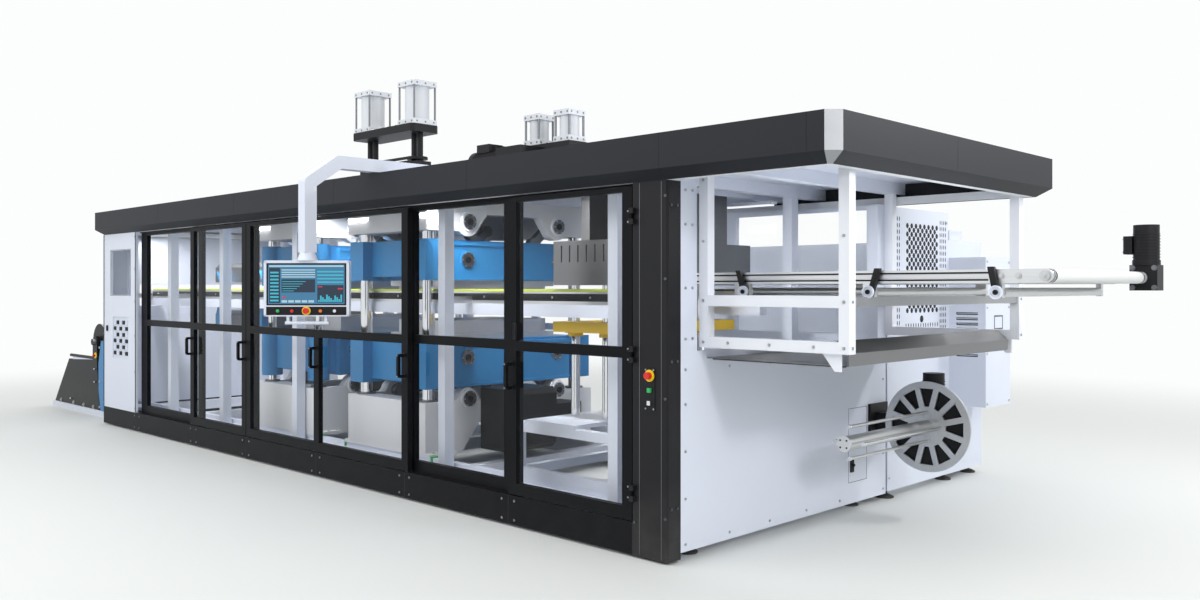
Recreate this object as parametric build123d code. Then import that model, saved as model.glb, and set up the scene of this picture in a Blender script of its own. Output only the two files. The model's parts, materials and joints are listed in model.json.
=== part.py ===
from build123d import *
import os
from math import cos, pi, radians, sin, tan

# Inline thermoforming machine: film unwinder, infeed section, heater, forming press,
# cutting press, stacker and outfeed conveyor under one canopy.
# Millimetres. X runs along the sheet towards the outfeed, Y from the glazed front to the back,
# Z up from the floor. The outfeed end panel is the plane x = 0 and the front face is y = 0.

# Overall body
body_length = 8200
body_depth = 2360
canopy_top = 2330
canopy_face = 190
canopy_slope_in = 75
canopy_slope_down = 55
canopy_proud = 75
canopy_back_proud = 180
canopy_infeed_proud = 50
canopy_reach = 1080
canopy_chamfer = 62
canopy_sheet = 25
canopy_flange = 130
roof_under = canopy_top - 90
roof_sheet = 20

# Base and frame
foot_height = 60
foot_radius = 60
pad_facets = 16
pad_rim = 10
pad_height = 24
stem_radius = 16
stem_facets = 6
foot_inset = 80
base_beam_width = 160
base_beam_height = 140
base_beam_inset = 300
cross_beam_width = 100
cross_beam_count = 8
rail_width = 45
rail_height = 40
rail_inset = 350
post_size = 80
post_inset = 260
post_stations = [-body_length + 130, -6980, -5790, -4400, -2310, -620]
roof_beam_size = 80
skirt_top = 197
skirt_gap = 15
skirt_sheet = 25
sill_depth = 110
wall_top = canopy_top - canopy_face - canopy_slope_down
side_sheet = 25

# Glazing and doors on the front
jamb_x = -body_length + 900
bay_edges = [-7230, -5900, -4845, -3660, -2450, -1320, -262]
leaf_thickness = 40
track_gap = 20
stile_width = 75
leaf_rail = 72
leaf_head = 28
transom_middle = 1138
transom_depth = 62
leaf_bottom = skirt_top + 8
leaf_top = wall_top - 19
leaf_gap = 10
shoe_length = 70
shoe_width = 22
shoe_clearance = 0.3
glass_thickness = 8
handle_length = 170
handle_reach = 62
handle_bar = 22
handle_height = 950
hinge_radius = 11
hinge_pin = 5
hinge_knuckle = 30
hinge_clearance = 0.3
hinge_reach = 26
hinge_heights = [360, 1130, 1900]
corner_post_width = 255
button_plate_x = [-160, -90]
button_plate_z = [830, 1060]
button_sheet = 4
button_side = 24
button_proud = 16
button_heights = [870, 940]
stop_height = 1020
stop_radius = 20
stop_proud = 34
stop_collar_radius = 33
stop_collar_proud = 10

# Infeed end
infeed_window_x = -body_length + 480
infeed_window_width = 560
infeed_window_bottom = 1425
infeed_window_height = 480
grille_width = 430
grille_bottom = 740
grille_height = 450
film_slot_bottom = 1300
film_slot_height = 240

# Presses
press_inset = 310
forming_x = -4750
forming_spread = 1030
cutting_x = -3160
cutting_spread = 1060
press_base_top = 640
base_arch_top = 470
lower_platen_bottom = 740
lower_platen_top = 1093
upper_platen_bottom = 1560
upper_platen_top = 1871
crosshead_bottom = 1935
crosshead_top = 2235
forming_column_radius = 38
cutting_column_radius = 48
column_inset = 105
bush_clearance = 0.3
housing_radius = 93
bearing_radius = 80
lobe_radius = 112
base_lobe_radius = 84
base_cap_radius = 74
foot_flange = 28
foot_flange_proud = 55
bearing_proud = 22
bearing_y = 710
base_bearing_z = 650
lower_bearing_z = 965
upper_bearing_z = 1717
crosshead_bearing_z = 2010
press_side = 90
link_thickness = 55
link_radius = 52
link_facets = 12
pin_facets = 8
platen_flange = 24
link_knee = 170
link_pin_radius = 30
link_clearance = 6
drive_length = 370
drive_front = 835
drive_back = 1300
drive_top = 725
drive_bevel = 45
servo_length = 330
servo_side = 250
servo_rise = 90
tool_inset = 640
lower_tool_height = 150
upper_tool_height = 130

# Sheet line
chain_rail_inset = 475
chain_rail_width = 80
chain_rail_bottom = 1390
chain_rail_height = 85
rail_beam_height = 84

# Heater
heater_start = -6780
heater_end = -5480
heater_inset = 620
heater_lower_bottom = 1080
heater_upper_bottom = 1560
heater_height = 190

# Plug drive on the roof
plug_x = -4315
plug_plate_length = 970
plug_plate_width = 300
plug_plate_bottom = canopy_top + 555
plug_plate_thickness = 70
plug_column_radius = 26
plug_column_pitch = 90
clamp_height = 90
chain_loop_width = 190
chain_loop_rise = 390
chain_height = 24
cylinder_side = 250
cylinder_height = 386
cylinder_cap = 45
cylinder_pitch = 710
tie_rod_radius = 9
small_cylinder_x = -2160
small_cylinder_side = 175
small_cylinder_height = 245
small_cylinder_pitch = 340
pedestal_top = canopy_top + 275
roof_motor_radius = 95
roof_motor_length = 420
roof_motor_height = 225
roof_gear_side = 220
pedestal_margin = 22

# Outfeed
end_panel_top = 1150
end_column = 80
end_column_width = 140
outfeed_reach = 945
outfeed_front = 300
outfeed_back = body_depth + 15
outfeed_bottom = 1170
outfeed_tube = 60
outfeed_mid = 1400
channel_height = 50
gusset_length = 110
gusset_drop = 90
gusset_tip = 40
conveyor_front = 505
conveyor_back = body_depth - 490
profile_height = 66
profile_width = 32
profile_top = 1588
groove_depth = 6
groove_width = 8
groove_low = 18
groove_high = 42
bracket_width = 28
tail_inset = 60
belt_side_gap = 12
conveyor_tail = -420
conveyor_head = 1800
end_plate = 12
end_plate_length = 260
gear_side = 140
gear_depth = 110
gear_hub = 55
gear_hub_radius = 34
motor_radius = 65
motor_collar = 25
motor_height = 290
terminal_box = [45, 90, 100]
head_roller_radius = 28
belt_thickness = 4
belt_clearance = 0.3
return_roller_radius = 22
return_roller_x = [155, 934, 1590]
return_roller_z = 1480
tray_length = 900
tray_sheet = 5
tray_lip = 65
tray_flange = 70

# Scrap winder beside the end panel
winder_x = 410
winder_z = 580
winder_radius = 300
winder_thickness = 14
winder_windows = 12
winder_wheel_y = body_depth - 203
winder_shaft_start = 1125
winder_shaft_radius = 44
winder_stub_radius = 20
winder_rod_radius = 10
winder_rod_ring = 95
winder_spoke = 40
winder_back_radius = 285
winder_gear_length = 160
winder_gear_side = 150
winder_gear_height = 170
winder_motor_radius = 70
winder_motor_collar = 35
winder_motor_height = 350
winder_flange_height = 240
winder_flange = 20
winder_back_sheet = 6
shaft_clearance = 0.3

# Cabinets behind the end
cabinet_length = 2400
tower_depth = 120
cabinet_front = body_depth + 25
cabinet_split = cabinet_front + 945
cabinet_back = cabinet_split + 600
cabinet_top = 2160
second_cabinet_top = 1870
cooler_top = 1735
cooler_width = 470
cooler_depth = 290
cooler_bottom = 594
louvre_count = 9
louvre_pitch = 40

# Control panel on its arm
arm_x = -2770
arm_size = 90
arm_out = -577
arm_level = canopy_top + 55
arm_bottom = 1745
arm_root = 420
panel_width = 585
panel_height = 385
panel_depth = 60
panel_turn = 45
spigot_radius = 20
panel_corner = 14
screen_border = 18
screen_recess = 3
button_row = 75
button_row_height = 38
panel_button_radius = 11
panel_button_proud = 10
panel_stop_radius = 20
panel_stop_proud = 24
collar_height = 55
collar_low_radius = 70
collar_high_radius = 50
grab_drop = 45
grab_radius = 11
grab_half_length = 150
grab_arm_x = 130
grab_arm_width = 18

# Stacker
stacker_start = -1640
stacker_end = -580
stacker_tube = 60
stacker_top = 600
lift_columns_x = [-1430, -1130]
lift_columns_inset = 700
lift_column_radius = 31
lift_bottom = 1200
lift_thickness = 70
hood_start = -1385
hood_end = -841
hood_inset = 450
hood_bottom = 1519
hood_top = 1809
hood_slots = 6
hood_slot_width = 12
hood_slot_rise = 150
hood_slot_margin = 30
hanger_width = 80

# Unwinder before the infeed
unwinder_length = 2350
unwinder_front = 210
unwinder_back = body_depth - 210
unwinder_rail = 60
unwinder_rail_width = 80
unwinder_cheek_top = 620
cheek_sheet = 40
column_width = 300
bar_height = 28
bar_length = 730
lever_radius = 19
reel_radius = 213
reel_shaft_radius = 38
reel_x = -body_length - 940
reel_z = 860


def slab(x0, x1, y0, y1, z0, z1):
    """A block between two corners."""
    middle = Pos((x0 + x1) / 2, (y0 + y1) / 2, (z0 + z1) / 2)
    return middle * Box(abs(x1 - x0), abs(y1 - y0), abs(z1 - z0))


def rod_z(x, y, z0, z1, radius):
    """An upright cylinder."""
    return Pos(x, y, (z0 + z1) / 2) * Cylinder(radius, z1 - z0)


def rod_y(x, z, y0, y1, radius):
    """A cylinder along Y."""
    return Pos(x, (y0 + y1) / 2, z) * Rot(90, 0, 0) * Cylinder(radius, y1 - y0)


def rod_x(y, z, x0, x1, radius):
    """A cylinder along X."""
    return Pos((x0 + x1) / 2, y, z) * Rot(0, 90, 0) * Cylinder(radius, x1 - x0)


def prism_x(y, z, x0, x1, radius, facets):
    """A prism with few sides along X, for a round part that is mostly covered."""
    outline = Plane(origin=(x0, y, z), x_dir=(0, 1, 0), z_dir=(1, 0, 0)) * RegularPolygon(radius, facets)
    return extrude(outline, amount=x1 - x0, dir=(1, 0, 0))


def plate_yz(points, x0, x1):
    """A plate with an outline in the YZ plane, between two X positions."""
    outline = Plane(origin=(x0, 0, 0), x_dir=(0, 1, 0), z_dir=(1, 0, 0)) * Polygon(*points, align=None)
    return extrude(outline, amount=x1 - x0, dir=(1, 0, 0))


def plate_xz(points, y0, y1):
    """A plate with an outline in the XZ plane, between two Y positions."""
    outline = Plane(origin=(0, y0, 0), x_dir=(1, 0, 0), z_dir=(0, -1, 0)) * Polygon(*points, align=None)
    return extrude(outline, amount=y1 - y0, dir=(0, 1, 0))


def joined(pieces):
    """One fused solid."""
    whole = pieces[0]
    for piece in pieces[1:]:
        whole = whole + piece
    return whole


def group(pieces):
    """Separate solids that share one node."""
    return Compound([solid for piece in pieces for solid in piece.solids()])


def both_sides(inset):
    """The Y positions of a thing that stands inset from the front and from the back."""
    return [inset, body_depth - inset]


nodes = {}

# Base frame: two long beams with guide rails, joined by cross beams
beam_high = foot_height + base_beam_height
rail_top = beam_high + rail_height
beam_start = -body_length + 40
beam_end = -60
half_beam = base_beam_width / 2
half_rail = rail_width / 2
cross_pitch = (beam_end - beam_start - cross_beam_width) / (cross_beam_count - 1)
cross_starts = [beam_start + i * cross_pitch for i in range(cross_beam_count)]
ladder = [slab(beam_start, beam_end, y - half_beam, y + half_beam, foot_height, beam_high)
          for y in both_sides(base_beam_inset)]
ladder += [slab(x, x + cross_beam_width, base_beam_inset, body_depth - base_beam_inset,
                foot_height + 20, beam_high - 20) for x in cross_starts]
ladder += [slab(beam_start, beam_end, y - half_rail, y + half_rail, beam_high, rail_top)
           for y in both_sides(rail_inset)]
nodes["base_frame"] = joined(ladder)


def foot(x, y):
    """A pad with a sloped rim and its stem, up to the underside of a beam."""
    pad = RegularPolygon(foot_radius, pad_facets)
    rim = [pad, Pos(0, 0, pad_rim) * pad]
    cap = [rim[1], Pos(0, 0, pad_height) * RegularPolygon(foot_radius * 0.5, pad_facets)]
    stem = extrude(RegularPolygon(stem_radius, stem_facets), amount=foot_height)
    return Pos(x, y, 0) * (loft(rim, ruled=True) + loft(cap, ruled=True) + stem)


foot_x = [x + cross_beam_width / 2 for x in cross_starts[::2]] + [cross_starts[-1] + cross_beam_width / 2]
feet = [foot(x, y) for x in foot_x for y in both_sides(base_beam_inset)]
feet += [foot(x, y) for x in (-cabinet_length + foot_inset, -foot_inset)
         for y in (cabinet_split + foot_inset, cabinet_back - foot_inset)]
feet.append(foot(-tower_depth / 2, cabinet_front + foot_inset))
nodes["levelling_feet"] = group(feet)

# Upright posts and the beams that carry the roof
half_post = post_size / 2
post_top = roof_under - roof_beam_size


def post(x, y):
    """A square tube post on the base beam."""
    return slab(x - half_post, x + half_post, y - half_post, y + half_post, beam_high, post_top)


nodes["front_posts"] = group([post(x, post_inset) for x in post_stations])
nodes["back_posts"] = group([post(x, body_depth - post_inset) for x in post_stations])
press_post = -4400
beam_gap = 5
roof_beam_x = [x for x in post_stations if x != press_post]
roof_beam_x += [-3955, hood_start + 100, hood_end - 100, 30, 850]
canopy_front_y = -canopy_proud + canopy_sheet
canopy_back_y = body_depth + canopy_back_proud - canopy_sheet
half_roof_beam = roof_beam_size / 2
roof_beams = [slab(x - half_roof_beam, x + half_roof_beam, canopy_front_y, canopy_back_y, post_top, roof_under)
              for x in roof_beam_x]
for y0, y1 in ((canopy_front_y, press_inset - beam_gap), (body_depth - press_inset + beam_gap, canopy_back_y)):
    roof_beams.append(slab(press_post - half_roof_beam, press_post + half_roof_beam, y0, y1,
                           post_top, roof_under))
nodes["roof_beams"] = group(roof_beams)

# Canopy: a folded fascia all round, cut into its four sides
canopy_x0 = -body_length - canopy_infeed_proud
canopy_x1 = canopy_reach
canopy_y0 = -canopy_proud
canopy_y1 = body_depth + canopy_back_proud
face_bottom = canopy_top - canopy_face


def footprint(inset, z):
    """The canopy's plan drawn in by inset, with its chamfered front corner at the outfeed."""
    leg = canopy_chamfer - 0.586 * inset
    x0, x1 = canopy_x0 + inset, canopy_x1 - inset
    y0, y1 = canopy_y0 + inset, canopy_y1 - inset
    return Pos(0, 0, z) * Polygon((x0, y0), (x1 - leg, y0), (x1, y0 + leg), (x1, y1), (x0, y1), align=None)


fascia = extrude(footprint(0, face_bottom), amount=canopy_face)
fascia += loft([footprint(canopy_slope_in, face_bottom - canopy_slope_down), footprint(0, face_bottom)])
inner_x0, inner_x1 = canopy_x0 + canopy_flange, canopy_x1 - canopy_flange
inner_y0, inner_y1 = canopy_y0 + canopy_flange, canopy_y1 - canopy_flange
fascia -= slab(inner_x0, inner_x1, inner_y0, inner_y1, face_bottom - 100, canopy_top + 10)
sheet_inset = canopy_sheet
fascia -= extrude(footprint(sheet_inset, face_bottom), amount=canopy_face - canopy_sheet)
low, high = face_bottom - 200, canopy_top + 100
nodes["canopy_front"] = fascia & slab(canopy_x0, canopy_x1, canopy_y0, inner_y0, low, high)
nodes["canopy_back"] = fascia & slab(canopy_x0, canopy_x1, inner_y1, canopy_y1, low, high)
nodes["canopy_outfeed"] = fascia & slab(inner_x1, canopy_x1, inner_y0, inner_y1, low, high)
nodes["canopy_infeed"] = fascia & slab(canopy_x0, inner_x0, inner_y0, inner_y1, low, high)

# Roof panel on the beams, inside the canopy
nodes["roof_panel"] = slab(canopy_x0 + canopy_sheet, canopy_x1 - canopy_sheet - canopy_chamfer,
                           canopy_front_y + 40, canopy_back_y, roof_under, roof_under + roof_sheet)

# Skirts with a folded sill on the front and back, and a plain one at the infeed
post_left = -corner_post_width
skirt_profile = [(0, skirt_gap), (skirt_sheet, skirt_gap), (skirt_sheet, skirt_top - 15),
                 (sill_depth, skirt_top - 15), (sill_depth, skirt_top), (0, skirt_top)]
back_profile = [(body_depth - y, z) for y, z in skirt_profile]
nodes["skirt_panels"] = group([
    plate_yz(skirt_profile, -body_length, post_left),
    plate_yz(back_profile, -body_length, -side_sheet),
    slab(-body_length, -body_length + skirt_sheet, sill_depth, body_depth - sill_depth, skirt_gap, skirt_top)])

# Corner post with its button plate and hinge knuckles
hinge_x = (bay_edges[-1] + post_left) / 2
hinge_y = -hinge_radius - 3


def hinge_block(side, z0, z1):
    """A hinge knuckle with the block that fastens it, on one side of the pin."""
    block = slab(hinge_x, hinge_x + side * hinge_reach, hinge_y - hinge_radius, 0, z0, z1)
    return block + rod_z(hinge_x, hinge_y, z0, z1, hinge_radius)


corner = slab(post_left, 0, 0, sill_depth, skirt_gap, wall_top)
corner = chamfer(corner.edges().filter_by(Axis.Z).sort_by(Axis.Y)[:2].sort_by(Axis.X)[-1], 12)
button_x = sum(button_plate_x) / 2
corner += slab(*button_plate_x, -button_sheet, 0, *button_plate_z)
corner += rod_y(button_x, stop_height, -stop_proud, -button_sheet, stop_radius)
corner += rod_y(button_x, stop_height, -stop_collar_proud, -button_sheet, stop_collar_radius)
for z in button_heights:
    half = button_side / 2
    corner += slab(button_x - half, button_x + half, -button_proud, -button_sheet, z - half, z + half)
for z in hinge_heights:
    half = hinge_knuckle / 2
    corner += hinge_block(1, z + half + 0.5, z + half + hinge_knuckle)
    corner += hinge_block(1, z - half - hinge_knuckle, z - half - 0.5)
    corner += rod_z(hinge_x, hinge_y, z - half - hinge_knuckle, z + half + hinge_knuckle, hinge_pin)
nodes["corner_post"] = corner

# End panel: a closed lower sheet between two full-height columns
nodes["end_panel"] = joined([
    slab(-side_sheet, 0, sill_depth, body_depth, skirt_gap + 35, end_panel_top),
    slab(-end_column, 0, sill_depth, sill_depth + end_column_width, end_panel_top, wall_top),
    slab(-end_column, 0, body_depth - sill_depth, body_depth, end_panel_top, wall_top)])

# Infeed side panels with a window and a connector grille, and the infeed end wall
side_panel = slab(-body_length, jamb_x, 0, side_sheet, skirt_top, wall_top)
window_half = infeed_window_width / 2
side_panel -= slab(infeed_window_x - window_half, infeed_window_x + window_half, -10, side_sheet + 10,
                   infeed_window_bottom, infeed_window_bottom + infeed_window_height)
side_panel -= slab(infeed_window_x - grille_width / 2, infeed_window_x + grille_width / 2, -10, side_sheet / 2,
                   grille_bottom, grille_bottom + grille_height)
back_panel = slab(-body_length, jamb_x, body_depth - side_sheet, body_depth, skirt_top, wall_top)
nodes["infeed_side_panels"] = group([side_panel, back_panel])
end_wall = slab(-body_length, -body_length + side_sheet, side_sheet, body_depth - side_sheet,
                skirt_top, wall_top)
end_wall -= slab(-body_length - 10, -body_length + 50, 380, body_depth - 380,
                 film_slot_bottom, film_slot_bottom + film_slot_height)
nodes["infeed_end_wall"] = end_wall


def pane_rows(bottom, top):
    """The lower and the upper clear opening of a leaf."""
    half = transom_depth / 2
    return [(bottom + leaf_rail, transom_middle - half), (transom_middle + half, top - leaf_head)]


def leaf(x0, x1, y0, top, mullions):
    """A glazed leaf: its frame and its panes. Mullions divide the lower row only."""
    frame = slab(x0, x1, y0, y0 + leaf_thickness, leaf_bottom, top)
    rows = pane_rows(leaf_bottom, top)
    edges = [x0] + mullions + [x1]
    low_spans = [(a + stile_width * (1 if a == x0 else 0.5), b - stile_width * (1 if b == x1 else 0.5))
                 for a, b in zip(edges, edges[1:])]
    spans = [(low_spans, rows[0]), ([(x0 + stile_width, x1 - stile_width)], rows[1])]
    panes = []
    glass_y = y0 + (leaf_thickness - glass_thickness) / 2
    for row_spans, (z0, z1) in spans:
        for a, b in row_spans:
            frame -= slab(a, b, y0 - 5, y0 + leaf_thickness + 5, z0, z1)
            panes.append(slab(a, b, glass_y, glass_y + glass_thickness, z0, z1))
    return frame, panes


def handle(x, y):
    """A bow handle standing out from the face at y."""
    z0, z1 = handle_height - handle_length / 2, handle_height + handle_length / 2
    half = handle_bar / 2
    outer = slab(x - half, x + half, y - handle_reach, y, z0, z1)
    outer = fillet(outer.edges().filter_by(Axis.X).sort_by(Axis.Y)[:2], handle_bar)
    inner = slab(x - half - 5, x + half + 5, y - handle_reach + handle_bar, y + 5,
                 z0 + handle_bar, z1 - handle_bar)
    return outer - inner


def shoes(x0, x1):
    """Two glide shoes under a sliding leaf, just clear of the sill that carries them."""
    y0 = (leaf_thickness - shoe_width) / 2
    return joined([slab(x, x + shoe_length, y0, y0 + shoe_width, skirt_top + shoe_clearance, leaf_bottom)
                   for x in (x0 + stile_width, x1 - stile_width - shoe_length)])


# Fixed glazing on the front, set back behind the sliding leaves
set_back = leaf_thickness + track_gap
header = wall_top - 11
bay_1, bay_1_glass = leaf(bay_edges[0], bay_edges[1] + stile_width / 2, set_back, header, [])
bay_5, bay_5_glass = leaf(bay_edges[4] - stile_width / 2, bay_edges[5] - stile_width / 2, set_back, header, [])
fixed = [bay_1, bay_5]
fixed.append(slab(jamb_x, bay_edges[0], set_back, sill_depth, skirt_top, header))
fixed.append(slab(bay_edges[2] - 35, bay_edges[2] + 35, set_back, sill_depth, skirt_top, header))
fixed.append(slab(bay_edges[5] - stile_width / 2, bay_edges[5] + 20, set_back, sill_depth, skirt_top, header))
fixed.append(slab(jamb_x, post_left, set_back - 15, sill_depth, header, wall_top))
fixed.append(slab(bay_edges[0], bay_edges[1], set_back, set_back + leaf_thickness, skirt_top, leaf_bottom))
fixed.append(slab(bay_edges[4], bay_edges[5], set_back, set_back + leaf_thickness, skirt_top, leaf_bottom))
nodes["fixed_window_frames"] = joined(fixed)
infeed_glass_y = (side_sheet - glass_thickness) / 2
infeed_pane = slab(infeed_window_x - window_half, infeed_window_x + window_half, infeed_glass_y,
                   infeed_glass_y + glass_thickness, infeed_window_bottom,
                   infeed_window_bottom + infeed_window_height)
nodes["fixed_window_glass"] = group(bay_1_glass + bay_5_glass + [infeed_pane])

# Sliding leaf of the heater bay
left_x0, left_x1 = bay_edges[1] - stile_width, bay_edges[2] - leaf_gap / 2
left_frame, left_panes = leaf(left_x0, left_x1, 0, leaf_top, [])
left_frame += shoes(left_x0, left_x1)
nodes["door_left"] = left_frame + handle(left_x0 + stile_width / 2, 0) + handle(left_x1 - stile_width / 2, 0)
nodes["door_left_glass"] = group(left_panes)

# Sliding double leaf of the forming press bays, one wide window over two lower panes
middle_x0, middle_x1 = bay_edges[2] + leaf_gap / 2, bay_edges[4] + stile_width / 2
middle_frame, middle_panes = leaf(middle_x0, middle_x1, 0, leaf_top, [bay_edges[3]])
middle_frame += shoes(middle_x0, middle_x1)
nodes["door_middle"] = middle_frame + handle(bay_edges[3], 0) + handle(middle_x1 - stile_width / 2, 0)
nodes["door_middle_glass"] = group(middle_panes)

# Hinged door of the stacker bay
right_x0, right_x1 = bay_edges[5], bay_edges[6]
right_frame, right_panes = leaf(right_x0, right_x1, 0, leaf_top, [])
right_door = right_frame + handle(right_x0 + stile_width / 2, 0)
for z in hinge_heights:
    right_door += hinge_block(-1, z - hinge_knuckle / 2, z + hinge_knuckle / 2)
    right_door -= rod_z(hinge_x, hinge_y, z - hinge_knuckle, z + hinge_knuckle, hinge_pin + hinge_clearance)
nodes["door_right"] = right_door
nodes["door_right_glass"] = group(right_panes)

# Glazing along the back
back_y = body_depth - leaf_thickness
back_frame = slab(jamb_x, -end_column, back_y, body_depth, skirt_top, wall_top)
back_edges = [jamb_x] + bay_edges[1:6] + [-end_column]
back_panes = []
glass_y = back_y + (leaf_thickness - glass_thickness) / 2
for a, b in zip(back_edges, back_edges[1:]):
    for z0, z1 in pane_rows(skirt_top, wall_top):
        x0, x1 = a + stile_width * 0.6, b - stile_width * 0.6
        back_frame -= slab(x0, x1, back_y - 5, body_depth + 5, z0, z1)
        back_panes.append(slab(x0, x1, glass_y, glass_y + glass_thickness, z0, z1))
nodes["back_window_frames"] = back_frame
nodes["back_window_glass"] = group(back_panes)

# Presses
middle_y = body_depth / 2
press_back = body_depth - press_inset


def mirrored(points):
    """An outline given for the front half, finished by its mirror image."""
    return points + [(body_depth - y, z) for y, z in reversed(points)]


def bosses(x0, x1, z, radius):
    """Round bearing bosses at both pin lines, between two X positions."""
    return [rod_x(y, z, x0, x1, radius) for y in both_sides(bearing_y)]


def press_base(x_mid, spread):
    """Two arched side frames with bearing bosses, tied by a front and a back pedestal."""
    x0, x1 = x_mid - spread / 2, x_mid + spread / 2
    outline = mirrored([(press_inset, rail_top), (press_inset, press_base_top), (bearing_y - 110, press_base_top),
                        (bearing_y - 75, base_bearing_z + 30), (bearing_y + 75, base_bearing_z + 30),
                        (bearing_y + 150, press_base_top - 40)])
    arch = mirrored([(press_inset + 330, rail_top - 10), (press_inset + 520, base_arch_top)])
    sides = []
    for side_start in (x0, x1 - press_side):
        side = plate_yz(outline, side_start, side_start + press_side)
        side -= plate_yz(arch, side_start - 5, side_start + press_side + 5)
        sides.append(side)
    for start, end in ((x0, x0 + press_side), (x1 - press_side, x1)):
        sides += bosses(start, end, base_bearing_z, base_lobe_radius)
    sides += bosses(x0 - bearing_proud, x0, base_bearing_z, base_cap_radius)
    sides += bosses(x1, x1 + bearing_proud, base_bearing_z, base_cap_radius)
    for y0, y1 in ((press_inset, press_inset + 190), (press_back - 190, press_back)):
        sides.append(slab(x0, x1, y0, y1, rail_top, press_base_top))
    for y0, y1 in ((press_inset, press_inset + 250), (press_back - 250, press_back)):
        sides.append(slab(x0 - foot_flange_proud, x1 + foot_flange_proud, y0, y1,
                          rail_top, rail_top + foot_flange))
    return joined(sides)


def crosshead(x_mid, spread):
    """The upper frame that ties the columns and carries the upper bearings."""
    x0, x1 = x_mid - spread / 2, x_mid + spread / 2
    outline = mirrored([(press_inset, crosshead_top), (press_inset, crosshead_bottom),
                        (bearing_y + 80, crosshead_bottom), (bearing_y + 190, crosshead_bottom + 140)])
    parts = []
    for side_start in (x0, x1 - press_side):
        parts.append(plate_yz(outline, side_start, side_start + press_side))
    for start, end in ((x0, x0 + press_side), (x1 - press_side, x1)):
        parts += bosses(start, end, crosshead_bearing_z, lobe_radius)
    parts += bosses(x0 - bearing_proud, x0, crosshead_bearing_z, bearing_radius - 6)
    parts += bosses(x1, x1 + bearing_proud, crosshead_bearing_z, bearing_radius - 6)
    for y0, y1 in ((press_inset, press_inset + 190), (press_back - 190, press_back)):
        parts.append(slab(x0, x1, y0, y1, crosshead_bottom, crosshead_top))
    return joined(parts)


def column_spots(x_mid, spread):
    """The four column centres of a press."""
    reach = spread / 2 - column_inset
    return [(x_mid + side * reach, y) for side in (-1, 1) for y in both_sides(press_inset + column_inset)]


def link_lanes(x_mid, spread):
    """The X spans of the toggle links, just inside the side frames."""
    inner = spread / 2 - press_side - link_clearance
    return [(x_mid - inner, x_mid - inner + link_thickness), (x_mid + inner - link_thickness, x_mid + inner)]


def platen(x_mid, spread, z0, z1, bearing_z, column_radius, round_housing, pocket_up):
    """A platen with column housings, pin bosses and pockets for the toggle links."""
    x0, x1 = x_mid - spread / 2 + 10, x_mid + spread / 2 - 10
    y0, y1 = press_inset + 40, press_back - 40
    body = slab(x0 + 60, x1 - 60, y0 + 60, y1 - 60, z0 + 30, z1)
    body += slab(x0, x1, y0 + 210, y1 - 210, z0, z1 - 20)
    for x, y in column_spots(x_mid, spread):
        if round_housing:
            body += rod_z(x, y, z0 - 40, z1 + 10, housing_radius)
        else:
            body += slab(x - housing_radius, x + housing_radius, y - housing_radius, y + housing_radius, z0, z1)
    for low in (z0, z1 - 20 - platen_flange):
        body += slab(x0 - 12, x1 + 12, y0 + 210, y1 - 210, low, low + platen_flange)
    for start, end in ((x0 - 10, x0), (x1, x1 + 10)):
        for boss in bosses(start, end, bearing_z, bearing_radius - 14):
            body += boss
    for x, y in column_spots(x_mid, spread):
        body -= rod_z(x, y, z0 - 60, z1 + 60, column_radius + bush_clearance)
    pocket = (z0 - 20, bearing_z + 75) if pocket_up else (bearing_z - 75, z1 + 20)
    pocket_y0 = bearing_y - link_radius - link_clearance
    pocket_y1 = bearing_y + link_knee + link_radius + link_clearance
    for a, b in link_lanes(x_mid, spread):
        for start, end in ((pocket_y0, pocket_y1), (body_depth - pocket_y1, body_depth - pocket_y0)):
            body -= slab(a - link_clearance, b + link_clearance, start, end, *pocket)
    return body


def toggle(x0, x1, y, z_low, z_high, knee_side):
    """A folded pair of links on one pin line, with its pins at both ends and at the knee."""
    knee = (y + knee_side * link_knee, (z_low + z_high) / 2)
    ends = [(y, z_low), (y, z_high)]
    half = link_radius * 0.7
    parts = [prism_x(*knee, x0, x1, link_radius, link_facets)]
    for end in ends:
        parts.append(prism_x(*end, x0, x1, link_radius, link_facets))
        parts.append(prism_x(*end, x0 - link_clearance, x1 + link_clearance, link_pin_radius, pin_facets))
        direction = Vector(0, knee[0] - end[0], knee[1] - end[1])
        across = Vector(0, -direction.Z, direction.Y).normalized() * half
        corners = [(end[0] + across.Y, end[1] + across.Z), (knee[0] + across.Y, knee[1] + across.Z),
                   (knee[0] - across.Y, knee[1] - across.Z), (end[0] - across.Y, end[1] - across.Z)]
        parts.append(plate_yz(corners, x0, x1))
    return joined(parts)


presses = [(forming_x, forming_spread, forming_column_radius, True),
           (cutting_x, cutting_spread, cutting_column_radius, False)]
nodes["press_bases"] = group([press_base(x_mid, spread) for x_mid, spread, _, _ in presses])
nodes["press_crossheads"] = group([crosshead(x_mid, spread) for x_mid, spread, _, _ in presses])
press_columns = [rod_z(x, y, press_base_top, crosshead_bottom, radius)
                 for x_mid, spread, radius, _ in presses for x, y in column_spots(x_mid, spread)]
nodes["lower_platens"] = group([
    platen(x_mid, spread, lower_platen_bottom, lower_platen_top, lower_bearing_z, radius, is_round, True)
    for x_mid, spread, radius, is_round in presses])
nodes["upper_platens"] = group([
    platen(x_mid, spread, upper_platen_bottom, upper_platen_top, upper_bearing_z, radius, is_round, False)
    for x_mid, spread, radius, is_round in presses])
links = []
for x_mid, spread, _, _ in presses:
    for a, b in link_lanes(x_mid, spread):
        for y, knee_side in zip(both_sides(bearing_y), (1, -1)):
            links.append(toggle(a, b, y, base_bearing_z, lower_bearing_z, knee_side))
            links.append(toggle(a, b, y, upper_bearing_z, crosshead_bearing_z, knee_side))
nodes["toggle_links"] = group(links)


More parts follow.
